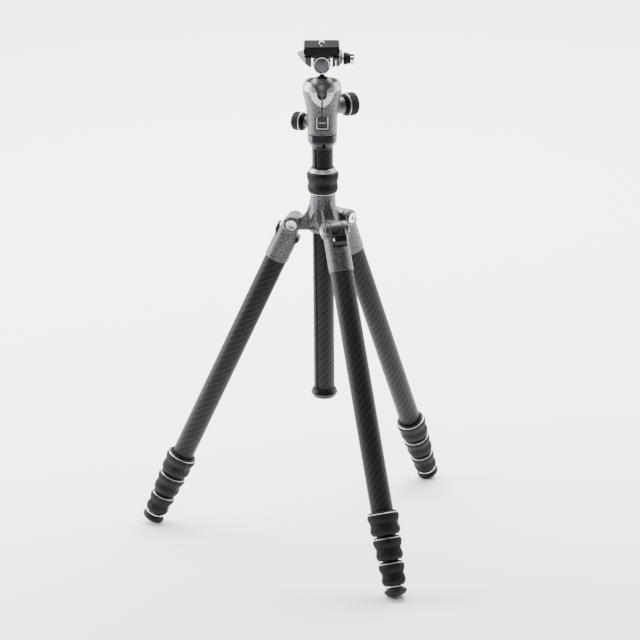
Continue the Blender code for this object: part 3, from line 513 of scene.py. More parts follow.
# ---------------------------------------------------------------- settings
class TripodSettings(bpy.types.PropertyGroup):
    """Sizes and counts that a user would change."""

    grip_ribs: bpy.props.IntProperty(
        name="Grip ribs", description="Ribs round a leg's largest twist lock", default=38, min=12, max=80
    )
    rib_depth: bpy.props.FloatProperty(
        name="Rib depth", description="Depth of the grooves between ribs", default=0.0006, min=0.0001,
        max=0.002, unit="LENGTH", precision=4,
    )  # fmt: skip
    facets: bpy.props.IntProperty(
        name="Thumb facets", description="Smooth facets round a grip", default=4, min=2, max=8
    )
    casting_step: bpy.props.FloatProperty(
        name="Casting detail", description="Grid step of the cast pieces' surfaces", default=0.00045,
        min=0.0003, max=0.002, unit="LENGTH", precision=5,
    )  # fmt: skip
    pad_ridges: bpy.props.IntProperty(
        name="Pad ridges", description="Ridges across the plate's rubber pad", default=7, min=4, max=40
    )
    key_light: bpy.props.FloatProperty(
        name="Key light", description="Power of the light on the left", default=52.0, min=0.0, unit="POWER"
    )
    fill_light: bpy.props.FloatProperty(
        name="Fill light", description="Power of the light on the right", default=17.0, min=0.0, unit="POWER"
    )
    top_light: bpy.props.FloatProperty(
        name="Top light", description="Power of the light overhead", default=420.0, min=0.0, unit="POWER"
    )
    paper: bpy.props.FloatVectorProperty(
        name="Paper colour", description="Colour of the floor and backdrop", subtype="COLOR", size=3,
        default=linear("#fbfbfb")[:3], min=0.0, max=1.0,
    )  # fmt: skip


# ---------------------------------------------------------------- shapes shared by several pieces
def grip_shape(ribs, depth, facets, turn, high, low, waist, hollow):
    """Surface of a twist grip: radius less a row of rounded ribs, |cos| of the rib angle raised to a power,
    which fade out at both ends and inside thumb facets, where the surface is smooth and dips by hollow."""

    def shape(a, r, z):
        ridge = 1 - np.abs(np.cos(ribs * a / 2)) ** 0.7
        share = np.clip((high - z) / (high - low), 0, 1)
        ends = np.clip(share / 0.07, 0, 1) * np.clip((1 - share) / 0.10, 0, 1)
        outer = (z < high) & (z > low)
        around = np.abs((a * facets / math.tau - turn) % 1 - 0.5) * math.tau / facets * r.max()
        down = np.abs(z - waist)
        facet = np.exp(-((around / 4.6) ** 4) - (down / 3.6) ** 4)
        dip = depth * ridge * ends * (1 - facet) + hollow * facet
        return r - np.where(outer, dip, 0), z

    return shape


def twist_grip(name, place, body, node, top, length, tube, bore, lip, seat, ribs, turn=0.0, cad_wall=5.2):
    """A twist lock: stepped bore, two ribbed bulges and a waist; the pale ring on its top is its own
    piece."""
    size = bpy.context.scene.tripod
    low = top - length
    bulge = tube + cad_wall
    profile = [
        (bore, top + 2.4), (tube + 2.3, top + 2.4), (tube + 3.1, top + 1.8), (tube + 3.2, top + 0.2),
        (bulge - 0.9, top - 0.2), (bulge - 0.2, top - 1.6), (bulge, top - 3.6), (bulge - 0.3, top - 6.0),
        (bulge - 1.7, top - 9.6), (bulge - 1.9, top - 11.4), (bulge - 1.2, top - 14.6),
        (bulge - 0.9, top - 17.0), (bulge - 1.3, low + 3.2), (bulge - 3.2, low + 0.3), (bulge - 3.9, low),
        (lip + 0.2, low), (lip, low + 0.3), (lip, seat), (bore, seat),
    ]  # fmt: skip
    profile = spaced(eased_ring(profile, 1.2, 5), 0.45)
    shape = grip_shape(
        ribs, size.rib_depth * 1000, size.facets, turn, top - 0.2, low + 0.6, top - 12.6, 0.5
    )
    turned(
        name, profile, place, FINISH["rubber"], body, sides=ribs * 10, ring=True, shape=shape, node=node,
        slot="grip_rubber",
    )  # fmt: skip
    ring = [
        (tube + 3.3, top + 0.5), (bulge - 1.3, top + 0.4), (bulge - 0.8, top + 0.05),
        (bulge - 0.8, top - 0.4),
        (tube + 3.3, top - 0.4),
    ]  # fmt: skip
    turned(
        f"{name}_ring", eased_ring(ring, 0.2, 3), place, FINISH["satin"], body, sides=160, ring=True,
        slot="turned_steel",
    )  # fmt: skip


def knurled_knob(name, place, body, node, radius, length, ribs, cap):
    """A knob about Z with its inner face at 0: ribs run along it between a bright inner ring and a crowned
    end."""
    profile = [
        (0, length), (radius * 0.66, length), (radius * 0.92, length - 0.7), (radius, length - 2.6),
        (radius, 3.9), (radius - 0.5, 3.7), (radius - 0.5, 2.7), (radius - 0.35, 2.4), (radius - 0.9, 0.9),
        (radius - 3.0, 0.1), (2.9, 0.1), (2.9, 6.0), (0, 6.0),
    ]  # fmt: skip

    def shape(a, r, z):
        ridge = 1 - np.abs(np.cos(ribs * a / 2)) ** 0.7
        ends = np.clip((length - 0.5 - z) / 1.6, 0, 1) * np.clip((z - 3.7) / 0.5, 0, 1)
        return r - np.where(r > radius * 0.7, 0.6 * ridge * ends, 0), z

    profile = spaced(eased(profile, 0.8, 5), 0.5)
    turned(
        name, profile, place, FINISH["rubber"], body, sides=ribs * 10, shape=shape, node=node,
        slot="grip_rubber",
    )  # fmt: skip
    ring = [
        (radius - 0.9, 3.75), (radius - 0.15, 3.75), (radius, 3.5), (radius, 3.0), (radius - 0.15, 2.7),
        (radius - 0.9, 2.7),
    ]  # fmt: skip
    turned(
        f"{name}_ring", eased_ring(ring, 0.2, 3), place, FINISH["satin"], body, sides=128, ring=True,
        slot="turned_steel",
    )  # fmt: skip
    if cap:
        disc = [
            (0, length), (radius * 0.5, length), (radius * 0.56, length - 0.25),
            (0, length - 0.3),
        ]  # fmt: skip
        turned(
            f"{name}_cap", eased(disc, 0.1, 2), place, FINISH["nylon"], body, sides=96, slot="black_plastic",
        )  # fmt: skip


def socket_screw(name, place, body, radius, top, depth, hexagon, material, **more):
    """A screw's head about Z: a chamfered rim, then a hexagonal socket whose radius is the flat distance
    over the cosine of the angle from the middle of its flat."""
    rim = np.array([
        (radius, top - 1.3), (radius, top - 0.35), (radius - 0.35, top), (hexagon * 1.28, top),
        (hexagon * 1.16, top - 0.15), (hexagon, top - 0.4), (hexagon, top - depth),
        (hexagon * 0.5, top - depth - 0.2),
        (0, top - depth - 0.3),
    ])  # fmt: skip

    def shape(a, r, z):
        flat = np.cos((a % (math.tau / 6)) - math.tau / 12)
        six = (r < hexagon * 1.05) & (r > hexagon * 0.9)
        return np.where(six, r / flat, r), z

    closed = np.concatenate([[(0, top - 1.3)], rim[:1], rim[1:]])[::-1]
    return turned(name, closed[::-1], place, material, body, sides=72, shape=shape, sharp=35, **more)


# ---------------------------------------------------------------- legs
def fork_distance(x, y, z):
    """The leg's top casting: a sleeve cut to the outline of two ears, a barrel round the pivot, then the slot
    for the spider's tongue, the tube's bore and the bolt's hole, every edge eased."""
    crown = [(8.8 * math.sin(a), 8.8 * math.cos(a)) for a in np.radians(np.linspace(62, -88, 12))]
    ears = [
        (18, -50), (18, -9.0), (13.4, -7.0), (10.4, -2.6), (9.2, 1.0), *crown, (-8.9, -6.5), (-10.2, -12.0),
        (-13.6, -18.5), (-18, -21), (-18, -50),
    ]  # fmt: skip
    round_leg = np.hypot(x, y)
    body = soft_max(round_leg - 13.25, outline_distance(x, z, ears), 1.6)
    barrel = rod_distance(np.hypot(x, z), y, 9.0, -13.55, 13.55, 0.7)
    body = soft_min(body, barrel, 1.0)
    body = soft_max(body, -45.9 - z, 0.6)
    slot = block_distance(x, y, z, (0, 0, 15), (30, 7.45, 35.0), 0.6)
    body = soft_max(body, -slot, 0.5)
    bore = np.maximum(round_leg - 12.35, z + 24)
    body = np.maximum(body, -bore)
    return np.maximum(body, -(np.hypot(x, z) - 4.35))


def build_leg(leg, fork_mesh):
    place = leg_place(leg)
    name = f"leg_{leg}"
    size = bpy.context.scene.tripod
    if fork_mesh is None:
        step = size.casting_step * 1000
        fork = cast_piece(
            f"{name}_fork_casting", fork_distance, (-15, -15.2, -47), (15, 15.2, 10.6), step, place,
            FINISH["hammertone"], name, node=f"{name}_fork", slot="hammertone_casting",
        )  # fmt: skip
    else:
        source, first = fork_mesh
        mesh = source.data.copy()
        mesh.transform(Matrix(place) @ Matrix(first).inverted())
        fork = bpy.data.objects.new(f"{name}_fork_casting", mesh)
        bpy.context.scene.collection.objects.link(fork)
        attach(fork, name)
        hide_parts(f"{name}_fork")
    # pivot bolt: a pin with a socket head on each side
    across = frame_matrix(Vector(place[:3, 3]), Vector(place[:3, 1]), Vector(place[:3, 0]))
    other = frame_matrix(Vector(place[:3, 3]), -Vector(place[:3, 1]), Vector(place[:3, 0]))
    pin = [(0, 13.7), (3.95, 13.7), (3.95, -13.7), (0, -13.7)]
    turned(f"{name}_pivot_pin", pin, across, FINISH["steel"], name, sides=64, sharp=40, node=f"{name}_bolt")
    socket_screw(
        f"{name}_pivot_head_a", across, name, 5.75, 15.25, 2.0, 2.1, FINISH["steel"], slot="turned_steel",
    )  # fmt: skip
    socket_screw(
        f"{name}_pivot_head_b", other, name, 5.75, 15.25, 2.0, 2.1, FINISH["steel"], slot="turned_steel",
    )  # fmt: skip
    # angle stop: a bar through the fork with its pull tab outside
    outline = [
        (14.9, -7.1), (14.9, -14.4), (13.4, -16.4), (11.9, -18.6), (11.9, -19.6), (-13.2, -19.6),
        (-14.8, -17.8),
        (-14.9, -14.6), (-13.4, -12.6), (11.9, -12.6), (11.9, -7.1),
    ]  # fmt: skip
    slab(
        f"{name}_stop_bar", outline, 6.95, place, FINISH["nylon"], f"{name}_stop", edge=0.5,
        node=f"{name}_angle_stop", slot="black_plastic",
    )  # fmt: skip
    # tubes
    radii = [12.2, 10.6, 9.0, 7.4]
    starts = [310.5, 337.5, 364.5]
    for section, radius in enumerate(radii, 1):
        low = -390.2 if section == 4 else -(starts[section - 1] + 14.1)
        high = -(23.8 + 1.5 * (section - 1))
        wall = radius - 1.1
        profile = [(wall, high), (radius, high), (radius, low), (wall, low)]
        body = name if section == 1 else f"{name}_section_{section}"
        turned(
            f"{name}_carbon_{section}", eased_ring(profile, 0.2, 2), place, FINISH["carbon"], body, sides=120,
            ring=True, weave=radius, node=f"{name}_tube_{section}", slot="carbon_tube",
        )  # fmt: skip
    # twist locks, each smaller than the one above
    for lock, start in enumerate(starts, 1):
        tube, inner = radii[lock - 1], radii[lock]
        ribs = size.grip_ribs - 2 * (lock - 1)
        twist_grip(
            f"{name}_twist_lock_{lock}", place, f"{name}_grip_{lock}", f"{name}_lock_{lock}", -start, 23.5,
            tube,
            tube + 0.4, inner + 0.4, -(start + 14.4), ribs, turn=0.13 * lock,
        )  # fmt: skip
    # foot: a stem, a groove and a rounded tread
    top, tip = -390.5, -400.0
    profile = [
        (0, top), (9.2, top), (9.8, top - 0.5), (9.8, top - 1.2), (10.9, top - 1.5), (12.2, top - 2.2),
        (12.55, top - 3.4), (12.4, top - 4.9), (11.6, top - 6.0), (9.2, tip + 1.3), (5.6, tip + 0.2),
        (4.4, tip),
        (0, tip),
    ]  # fmt: skip
    turned(
        f"{name}_foot_tread", spaced(eased(profile, 0.9, 5), 0.6), place, FINISH["foot"], f"{name}_section_4",
        sides=120, node=f"{name}_foot", slot="foot_rubber",
    )  # fmt: skip
    ring = [(8.2, -388.2), (10.3, -388.2), (10.75, -388.7), (10.75, -389.5), (10.2, -390.1), (8.2, -390.1)]
    turned(
        f"{name}_foot_ring", eased_ring(ring, 0.2, 3), place, FINISH["polished"], f"{name}_section_4",
        sides=120,
        ring=True, slot="turned_steel",
    )  # fmt: skip
    return fork, place


# ---------------------------------------------------------------- spider and column
def spider_distance(x, y, z):
    """The crown: a flared hub, three tongues with barrels at the leg pivots, webs that run up each tongue,
    pockets between them, and the column's bore."""
    r = np.hypot(x, y)
    hub = [
        (-30, 34), (13.9, 34), (13.9, 24), (14.3, 19), (15.2, 14), (16.6, 9), (17.4, 4), (17.3, -2),
        (16.4, -5.5),
        (14.6, -9), (-30, -9),
    ]  # fmt: skip
    body = outline_distance(r, z, hub)
    for leg in LEGS:
        a = leg_heading(leg)
        u = x * math.cos(a) + y * math.sin(a)
        v = -x * math.sin(a) + y * math.cos(a)
        tongue = [
            (8, -7.2), (32.8, -8.0), (34, -4), (34, 4), (32.8, 7.0), (23.3, 6.6), (19.6, 9.2), (16.6, 13.5),
            (14.6, 19.0), (8, 19),
        ]  # fmt: skip
        arm = soft_max(outline_distance(u, z, tongue), np.abs(v) - 6.6, 0.8)
        web = soft_max(
            outline_distance(u, z, [(8, 8), (21.5, 5.5), (18.4, 12.0), (15.4, 20.0), (14.0, 27.0), (8, 27)]),
            np.abs(v) - 3.6 - 0.12 * (27 - z), 1.6,
        )  # fmt: skip
        body = soft_min(body, web, 1.6)
        body = soft_min(body, arm, 1.8)
        across = np.hypot(u - 32.8, z)
        barrel = rod_distance(across, v, 9.0, -6.95, 6.95, 0.5)
        body = soft_min(body, barrel, 0.8)
        body = np.maximum(body, -rod_distance(across, v, 4.35, -9, 9, 0.1))
        # pocket on the hub between this tongue and the next
        b = a + math.pi / 3
        p = x * math.cos(b) + y * math.sin(b)
        q = np.abs(-x * math.sin(b) + y * math.cos(b))
        wide = np.clip((14.5 - z) / 17.0, 0, 1) * 7.4
        pocket = np.maximum(q - wide, np.maximum(13.9 - p + 0.02 * q * q, -3.8 - z))
        body = soft_max(body, -pocket, 1.0)
    return np.maximum(body, 11.9 - r)


def build_column():
    size = bpy.context.scene.tripod
    cast_piece(
        "spider_casting", spider_distance, (-46, -46, -10.5), (46, 46, 35.5), size.casting_step * 1250,
        COLUMN,
        FINISH["hammertone"], "spider", node="spider", slot="hammertone_casting",
    )  # fmt: skip
    # column lock, its collet and the bright ring above
    top, length = 58.0, 23.5
    profile = [
        (13.8, top), (15.4, top), (17.3, top - 1.2), (17.75, top - 3.6), (17.3, top - 7.2),
        (16.2, top - 10.6),
        (16.0, top - 12.6), (16.6, top - 15.6), (16.9, top - 18.0), (16.5, top - 20.6), (14.9, top - 23.2),
        (13.8, top - length),
    ]  # fmt: skip
    profile = spaced(eased_ring(profile, 1.4, 5), 0.45)
    shape = grip_shape(
        38, size.rib_depth * 1000, size.facets, 0.0, top - 0.2, top - length + 0.6, top - 13.0, 0.5,
    )  # fmt: skip
    turned(
        "column_twist_lock", profile, COLUMN, FINISH["rubber"], "column_grip", sides=380, ring=True,
        shape=shape,
        node="column_lock", slot="grip_rubber",
    )  # fmt: skip
    ring = [(12.1, 62.6), (12.9, 62.7), (14.5, 60.6), (14.9, 59.4), (14.8, 58.3), (12.1, 58.3)]
    turned(
        "column_bright_ring", eased_ring(ring, 0.3, 3), COLUMN, FINISH["satin"], "spider", sides=160,
        ring=True,
        node="column_lock_ring", slot="turned_steel",
    )  # fmt: skip
    collet = [(11.9, 57.7), (13.3, 57.7), (13.3, 34.8), (11.9, 34.8)]
    turned(
        "column_collet_sleeve", eased_ring(collet, 0.2, 2), COLUMN, FINISH["nylon"], "spider", sides=96,
        ring=True,
        node="column_collet", slot="black_plastic",
    )  # fmt: skip
    seal = [(11.8, 63.4), (12.5, 63.4), (12.9, 62.8), (12.3, 62.0), (11.8, 62.0)]
    turned(
        "column_wiper", eased_ring(seal, 0.15, 2), COLUMN, FINISH["nylon"], "spider", sides=120, ring=True,
        slot="black_plastic",
    )  # fmt: skip
    foot_ring = [(12.2, 35.4), (14.2, 35.4), (14.3, 34.2), (12.2, 34.2)]
    turned(
        "spider_bright_ring", eased_ring(foot_ring, 0.15, 2), COLUMN, FINISH["polished"], "spider", sides=120,
        ring=True, slot="turned_steel",
    )  # fmt: skip

    # column: a tube with a keyway; the radius drops by the keyway's depth within its width
    def keyway(a, r, z):
        off = np.abs((a - math.radians(-128) + math.pi) % math.tau - math.pi) * 11.5
        share = np.clip((1.95 - off) / 0.35, 0, 1)
        return r - np.where(r > 10, 1.3 * share * share * (3 - 2 * share), 0), z

    tube = [(9.1, 84.5), (11.5, 84.5), (11.5, -194.5), (9.1, -194.5)]
    turned(
        "column_carbon", eased_ring(tube, 0.2, 2), COLUMN, FINISH["carbon"], "column", sides=360, ring=True,
        shape=keyway, weave=11.5, node="column_tube", slot="carbon_tube",
    )  # fmt: skip
    low = -203.0
    cap = [
        (0, -194.8), (11.6, -194.8), (11.8, -191.9), (12.5, -191.8), (13.1, -192.6), (14.6, -196.0),
        (14.8, -197.2), (14.3, -198.4), (13.6, -198.9), (13.2, -199.6), (12.6, -201.3), (10.4, low + 0.2),
        (0, low),
    ]  # fmt: skip
    turned(
        "column_end_cap", spaced(eased(cap, 0.5, 4), 0.8), COLUMN, FINISH["nylon"], "column", sides=120,
        node="column_cap", slot="black_plastic",
    )  # fmt: skip
    plate = [
        (5.0, 86.8), (12.2, 86.8), (11.8, 84.8), (8.8, 84.8), (8.8, 78.6), (5.0, 78.6),
    ]  # fmt: skip
    turned(
        "column_head_plate", eased_ring(plate, 0.2, 2), COLUMN, FINISH["nylon"], "column", sides=96,
        ring=True,
        node="column_top_plate", slot="black_plastic",
    )  # fmt: skip
    stud = [(0, 95.8), (4.3, 95.8), (4.65, 95.2), (4.65, 79.2), (0, 79.2)]
    turned("head_stud_thread", stud, COLUMN, FINISH["steel"], "column", sides=64, node="head_stud", sharp=40)


# ---------------------------------------------------------------- head
RIM, SHOULDER, FLOOR = 11.7, 3.0, -46.0
NOTCH = [(-12.6, 14.0), (-11.2, 11.2), (-9.3, 9.0), (-6.8, 6.4), (-5.4, 3.6), (-5.05, 0.4)]
TRIM_EDGE = [
    (-24, 2.9), (-21.4, 2.9), (-18.4, 3.2), (-14.2, 2.4), (-12.4, -0.6), (-11.0, -4.4), (-8.4, -8.4),
    (-4.6, -11.6),
    (0, -14.2),
]  # fmt: skip


def head_shell(x, y, z, grow=0.0):
    """The head's outside: a funnel turned about Z, through points at the rim, the shoulder and the waist."""
    side = [
        (-40, RIM), (18.4, RIM), (20.6, 7.6), (21.35, SHOULDER), (20.9, -1.5), (19.9, -6.5), (18.6, -12.5),
        (17.5, -18.5), (16.75, -25.0), (16.3, -32.0), (16.2, FLOOR), (-40, FLOOR),
    ]  # fmt: skip
    return outline_distance(np.hypot(x, y), z, side) - grow


def notch_distance(x, y, z):
    """The slot that the neck drops into: a U in X and Z that flares to the rim, cut through the front
    wall."""
    right = [(-px, pz) for px, pz in NOTCH[::-1]]
    bottom = [(5.05 * math.cos(a), 0.2 + 5.05 * math.sin(a)) for a in np.radians(np.linspace(0, -180, 13))]
    outline = NOTCH[:-1] + bottom[::-1] + right[1:] + [(12.6, 30), (-12.6, 30)]
    return np.maximum(outline_distance(x, z, outline), y + 3.0)


def trim_region(x, y, z):
    """Where the pale collar lies: above a line that hugs the notch at the front and runs level elsewhere."""
    edge = np.array(TRIM_EDGE)
    level = np.interp(-np.abs(x), edge[:, 0], edge[:, 1])
    level = np.where(y < 2, level, SHOULDER)
    return (level - z) * 0.8


def trim_distance(x, y, z):
    """The pale collar: the head's outside, kept above the trim line, less the ball, the notch and a slot."""
    ball = 17.0 - np.sqrt(x * x + y * y + z * z)
    wall = soft_max(head_shell(x, y, z, 0.12), trim_region(x, y, z), 0.5)
    wall = soft_max(wall, -notch_distance(x, y, z), 0.6)
    wall = np.maximum(wall, ball)
    mouth = np.maximum(np.hypot(x, y) - 13.4, 0 - z)
    wall = np.maximum(wall, -mouth)
    wall = soft_max(wall, -block_distance(x, y, z, (0, -18, -10.0), (0.8, 6, 5.0), 0.2), 0.2)
    return np.maximum(wall, -(head_shell(x, y, z) + 2.4) * (z < 4) - 50 * (z >= 4))


def head_distance(x, y, z):
    """The casting: the head's outside joined to two bosses, less the trim, ball, notch, seam and panel."""
    body = head_shell(x, y, z)
    for heading, height, radius, reach in ((30, -18.6, 9.0, 25.75), (150, -36.5, 5.8, 21.35)):
        a = math.radians(heading)
        u = x * math.cos(a) + y * math.sin(a)
        v = -x * math.sin(a) + y * math.cos(a)
        boss = rod_distance(np.hypot(v, z - height), u, radius, 4, reach, 0.6)
        body = soft_min(body, boss, 2.4)
        body = np.maximum(body, -rod_distance(np.hypot(v, z - height), u, 2.95, 13, 40, 0.1))
    body = soft_max(body, -(trim_region(x, y, z) + 0.55), 0.5)
    body = np.maximum(body, 19.1 - np.sqrt(x * x + y * y + z * z))
    body = np.maximum(body, -(notch_distance(x, y, z)))
    seam = block_distance(x, y, z, (0, -19, -18.5), (0.65, 4, 7.0), 0.2)
    body = soft_max(body, -np.maximum(seam, -(head_shell(x, y, z) + 1.3)), 0.3)
    panel = block_distance(x, y, z, (0, -17, -31.9), (7.7, 6.0, 7.5), 0.3)
    body = soft_max(body, -np.maximum(panel, -(head_shell(x, y, z) + 0.85)), 0.25)
    spigot = np.maximum(np.hypot(x, y) - 10.4, z + 38.5)
    return np.maximum(body, -spigot)


def liner_distance(x, y, z):
    """A thin black liner on the rim, open at the notch, with a lip that stands up at its inner edge."""
    r = np.hypot(x, y)
    ring = outline_distance(
        r, z, [(13.3, 11.4), (17.5, 11.4), (17.4, 11.95), (14.6, 12.0), (14.2, 12.7), (13.3, 12.7)],
    )  # fmt: skip
    return soft_max(ring, -(notch_distance(x, y, z) - 0.5), 0.4)


def build_head():
    size = bpy.context.scene.tripod
    step = size.casting_step * 1000
    cast_piece(
        "head_casting", head_distance, (-25, -24, -47), (26, 24, 12.6), step, HEAD, FINISH["hammertone"],
        "head",
        node="head_body", slot="hammertone_casting",
    )  # fmt: skip
    cast_piece(
        "head_trim", trim_distance, (-23, -23, -13.5), (23, 23, 12.8), step * 0.9, HEAD, FINISH["satin"],
        "head",
        node="head_collar", slot="satin_trim",
    )  # fmt: skip
    cast_piece(
        "head_rim_liner", liner_distance, (-19, -19, 10.6), (19, 19, 13.4), step, HEAD, FINISH["rubber"],
        "head",
        slot="black_plastic",
    )  # fmt: skip

    # panel on the front with a plain bracket round it, and the panning scale under it
    def bent(u, z, proud):
        """Points on the head's wall at width u and height z, standing proud of it."""
        wall = np.interp(-z, [18.5, 25.0, 32.0, 46.0], [17.5, 16.75, 16.3, 16.2]) + proud
        return np.stack([u, -np.sqrt(np.maximum(wall**2 - u**2, 0)), z], -1)

    def patch(name, u0, u1, z0, z1, low, high, material, count=(13, 9), slot=None):
        """A small curved plate on the wall: an outer and an inner skin of the same grid, joined at the
        edges."""
        u, z = np.meshgrid(np.linspace(u0, u1, count[0]), np.linspace(z0, z1, count[1]))
        outer, inner = bent(u, z, high).reshape(-1, 3), bent(u, z, low).reshape(-1, 3)
        rows, columns = count[1], count[0]
        i, j = np.meshgrid(np.arange(rows - 1), np.arange(columns - 1), indexing="ij")
        k = (i * columns + j).ravel()
        top = np.stack([k, k + 1, k + columns + 1, k + columns], 1)
        n = rows * columns
        edge = np.concatenate([
            np.arange(columns), np.arange(1, rows) * columns + columns - 1,
            (rows - 1) * columns + np.arange(columns - 2, -1, -1), np.arange(rows - 2, 0, -1) * columns,
        ])  # fmt: skip
        around = np.roll(edge, -1)
        sides = np.stack([edge, edge + n, around + n, around], 1)
        points = np.concatenate([outer, inner])
        return new_object(
            name, points, [top, top[:, ::-1] + n, sides], HEAD, material, "head", sharp=40, slot=slot,
        )  # fmt: skip

    patch("head_badge_ground", -7.3, 7.3, -39.1, -24.7, -0.95, -0.7, FINISH["mark"], slot="black_plastic")
    patch(
        "head_badge_panel", -4.9, 4.9, -36.9, -25.6, -0.8, -0.3, FINISH["badge"], slot="black_anodised_plate",
    )  # fmt: skip
    patch("head_badge_bar", -3.6, 3.6, -31.6, -30.9, -0.35, -0.12, FINISH["satin"], slot="satin_trim")
    for side, name in ((-1, "left"), (1, "right")):
        inner, outer = sorted((side * 5.4, side * 6.5))
        patch(
            f"head_badge_{name}", inner, outer, -38.4, -25.0, -0.8, 0.0, FINISH["satin"], (5, 9),
            "satin_trim",
        )  # fmt: skip
    patch("head_badge_foot", -5.4, 5.4, -38.4, -37.4, -0.8, 0.0, FINISH["satin"], (13, 3), "satin_trim")
    for tick in range(-6, 7):
        centre = math.sin(math.radians(tick * 7.5)) * 16.2
        tall = 2.6 if tick % 3 == 0 else 1.6
        half = 0.28 * math.cos(math.radians(tick * 7.5))
        patch(
            f"pan_mark_{tick + 7:02d}", centre - half, centre + half, -45.4, -45.4 + tall, -0.05, 0.04,
            FINISH["mark"], (2, 2), "black_plastic",
        )  # fmt: skip
    # panning base on top of the column
    base = [
        (0, 107.9), (9.9, 107.9), (9.9, 101.0), (15.2, 101.0), (16.1, 100.7), (16.15, 93.4), (15.9, 92.2),
        (12.8, 87.2), (5.1, 87.2), (5.1, 96.2), (0, 96.2),
    ]  # fmt: skip
    turned(
        "panning_base", spaced(eased(base, 0.35, 3), 1.5), COLUMN, FINISH["nickel"], "column", sides=160,
        node="head_base", slot="dark_base",
    )  # fmt: skip
    for knob, radius, length, ribs in (("ball_lock", 12.85, 15.0, 40), ("pan_lock", 10.35, 13.3, 34)):
        place = knob_place(f"{knob}_turn")
        knurled_knob(f"{knob}_grip", place, knob, f"{knob}_knob", radius, length, ribs, cap=True)
        depth = 9.0 if knob == "ball_lock" else 8.0
        shaft = [(0, 5.6), (2.45, 5.6), (2.45, -depth), (0, -depth)]
        turned(
            f"{knob}_shaft", shaft, place, FINISH["steel"], knob, sides=48, sharp=40, node=f"{knob}_screw",
            slot="turned_steel",
        )  # fmt: skip


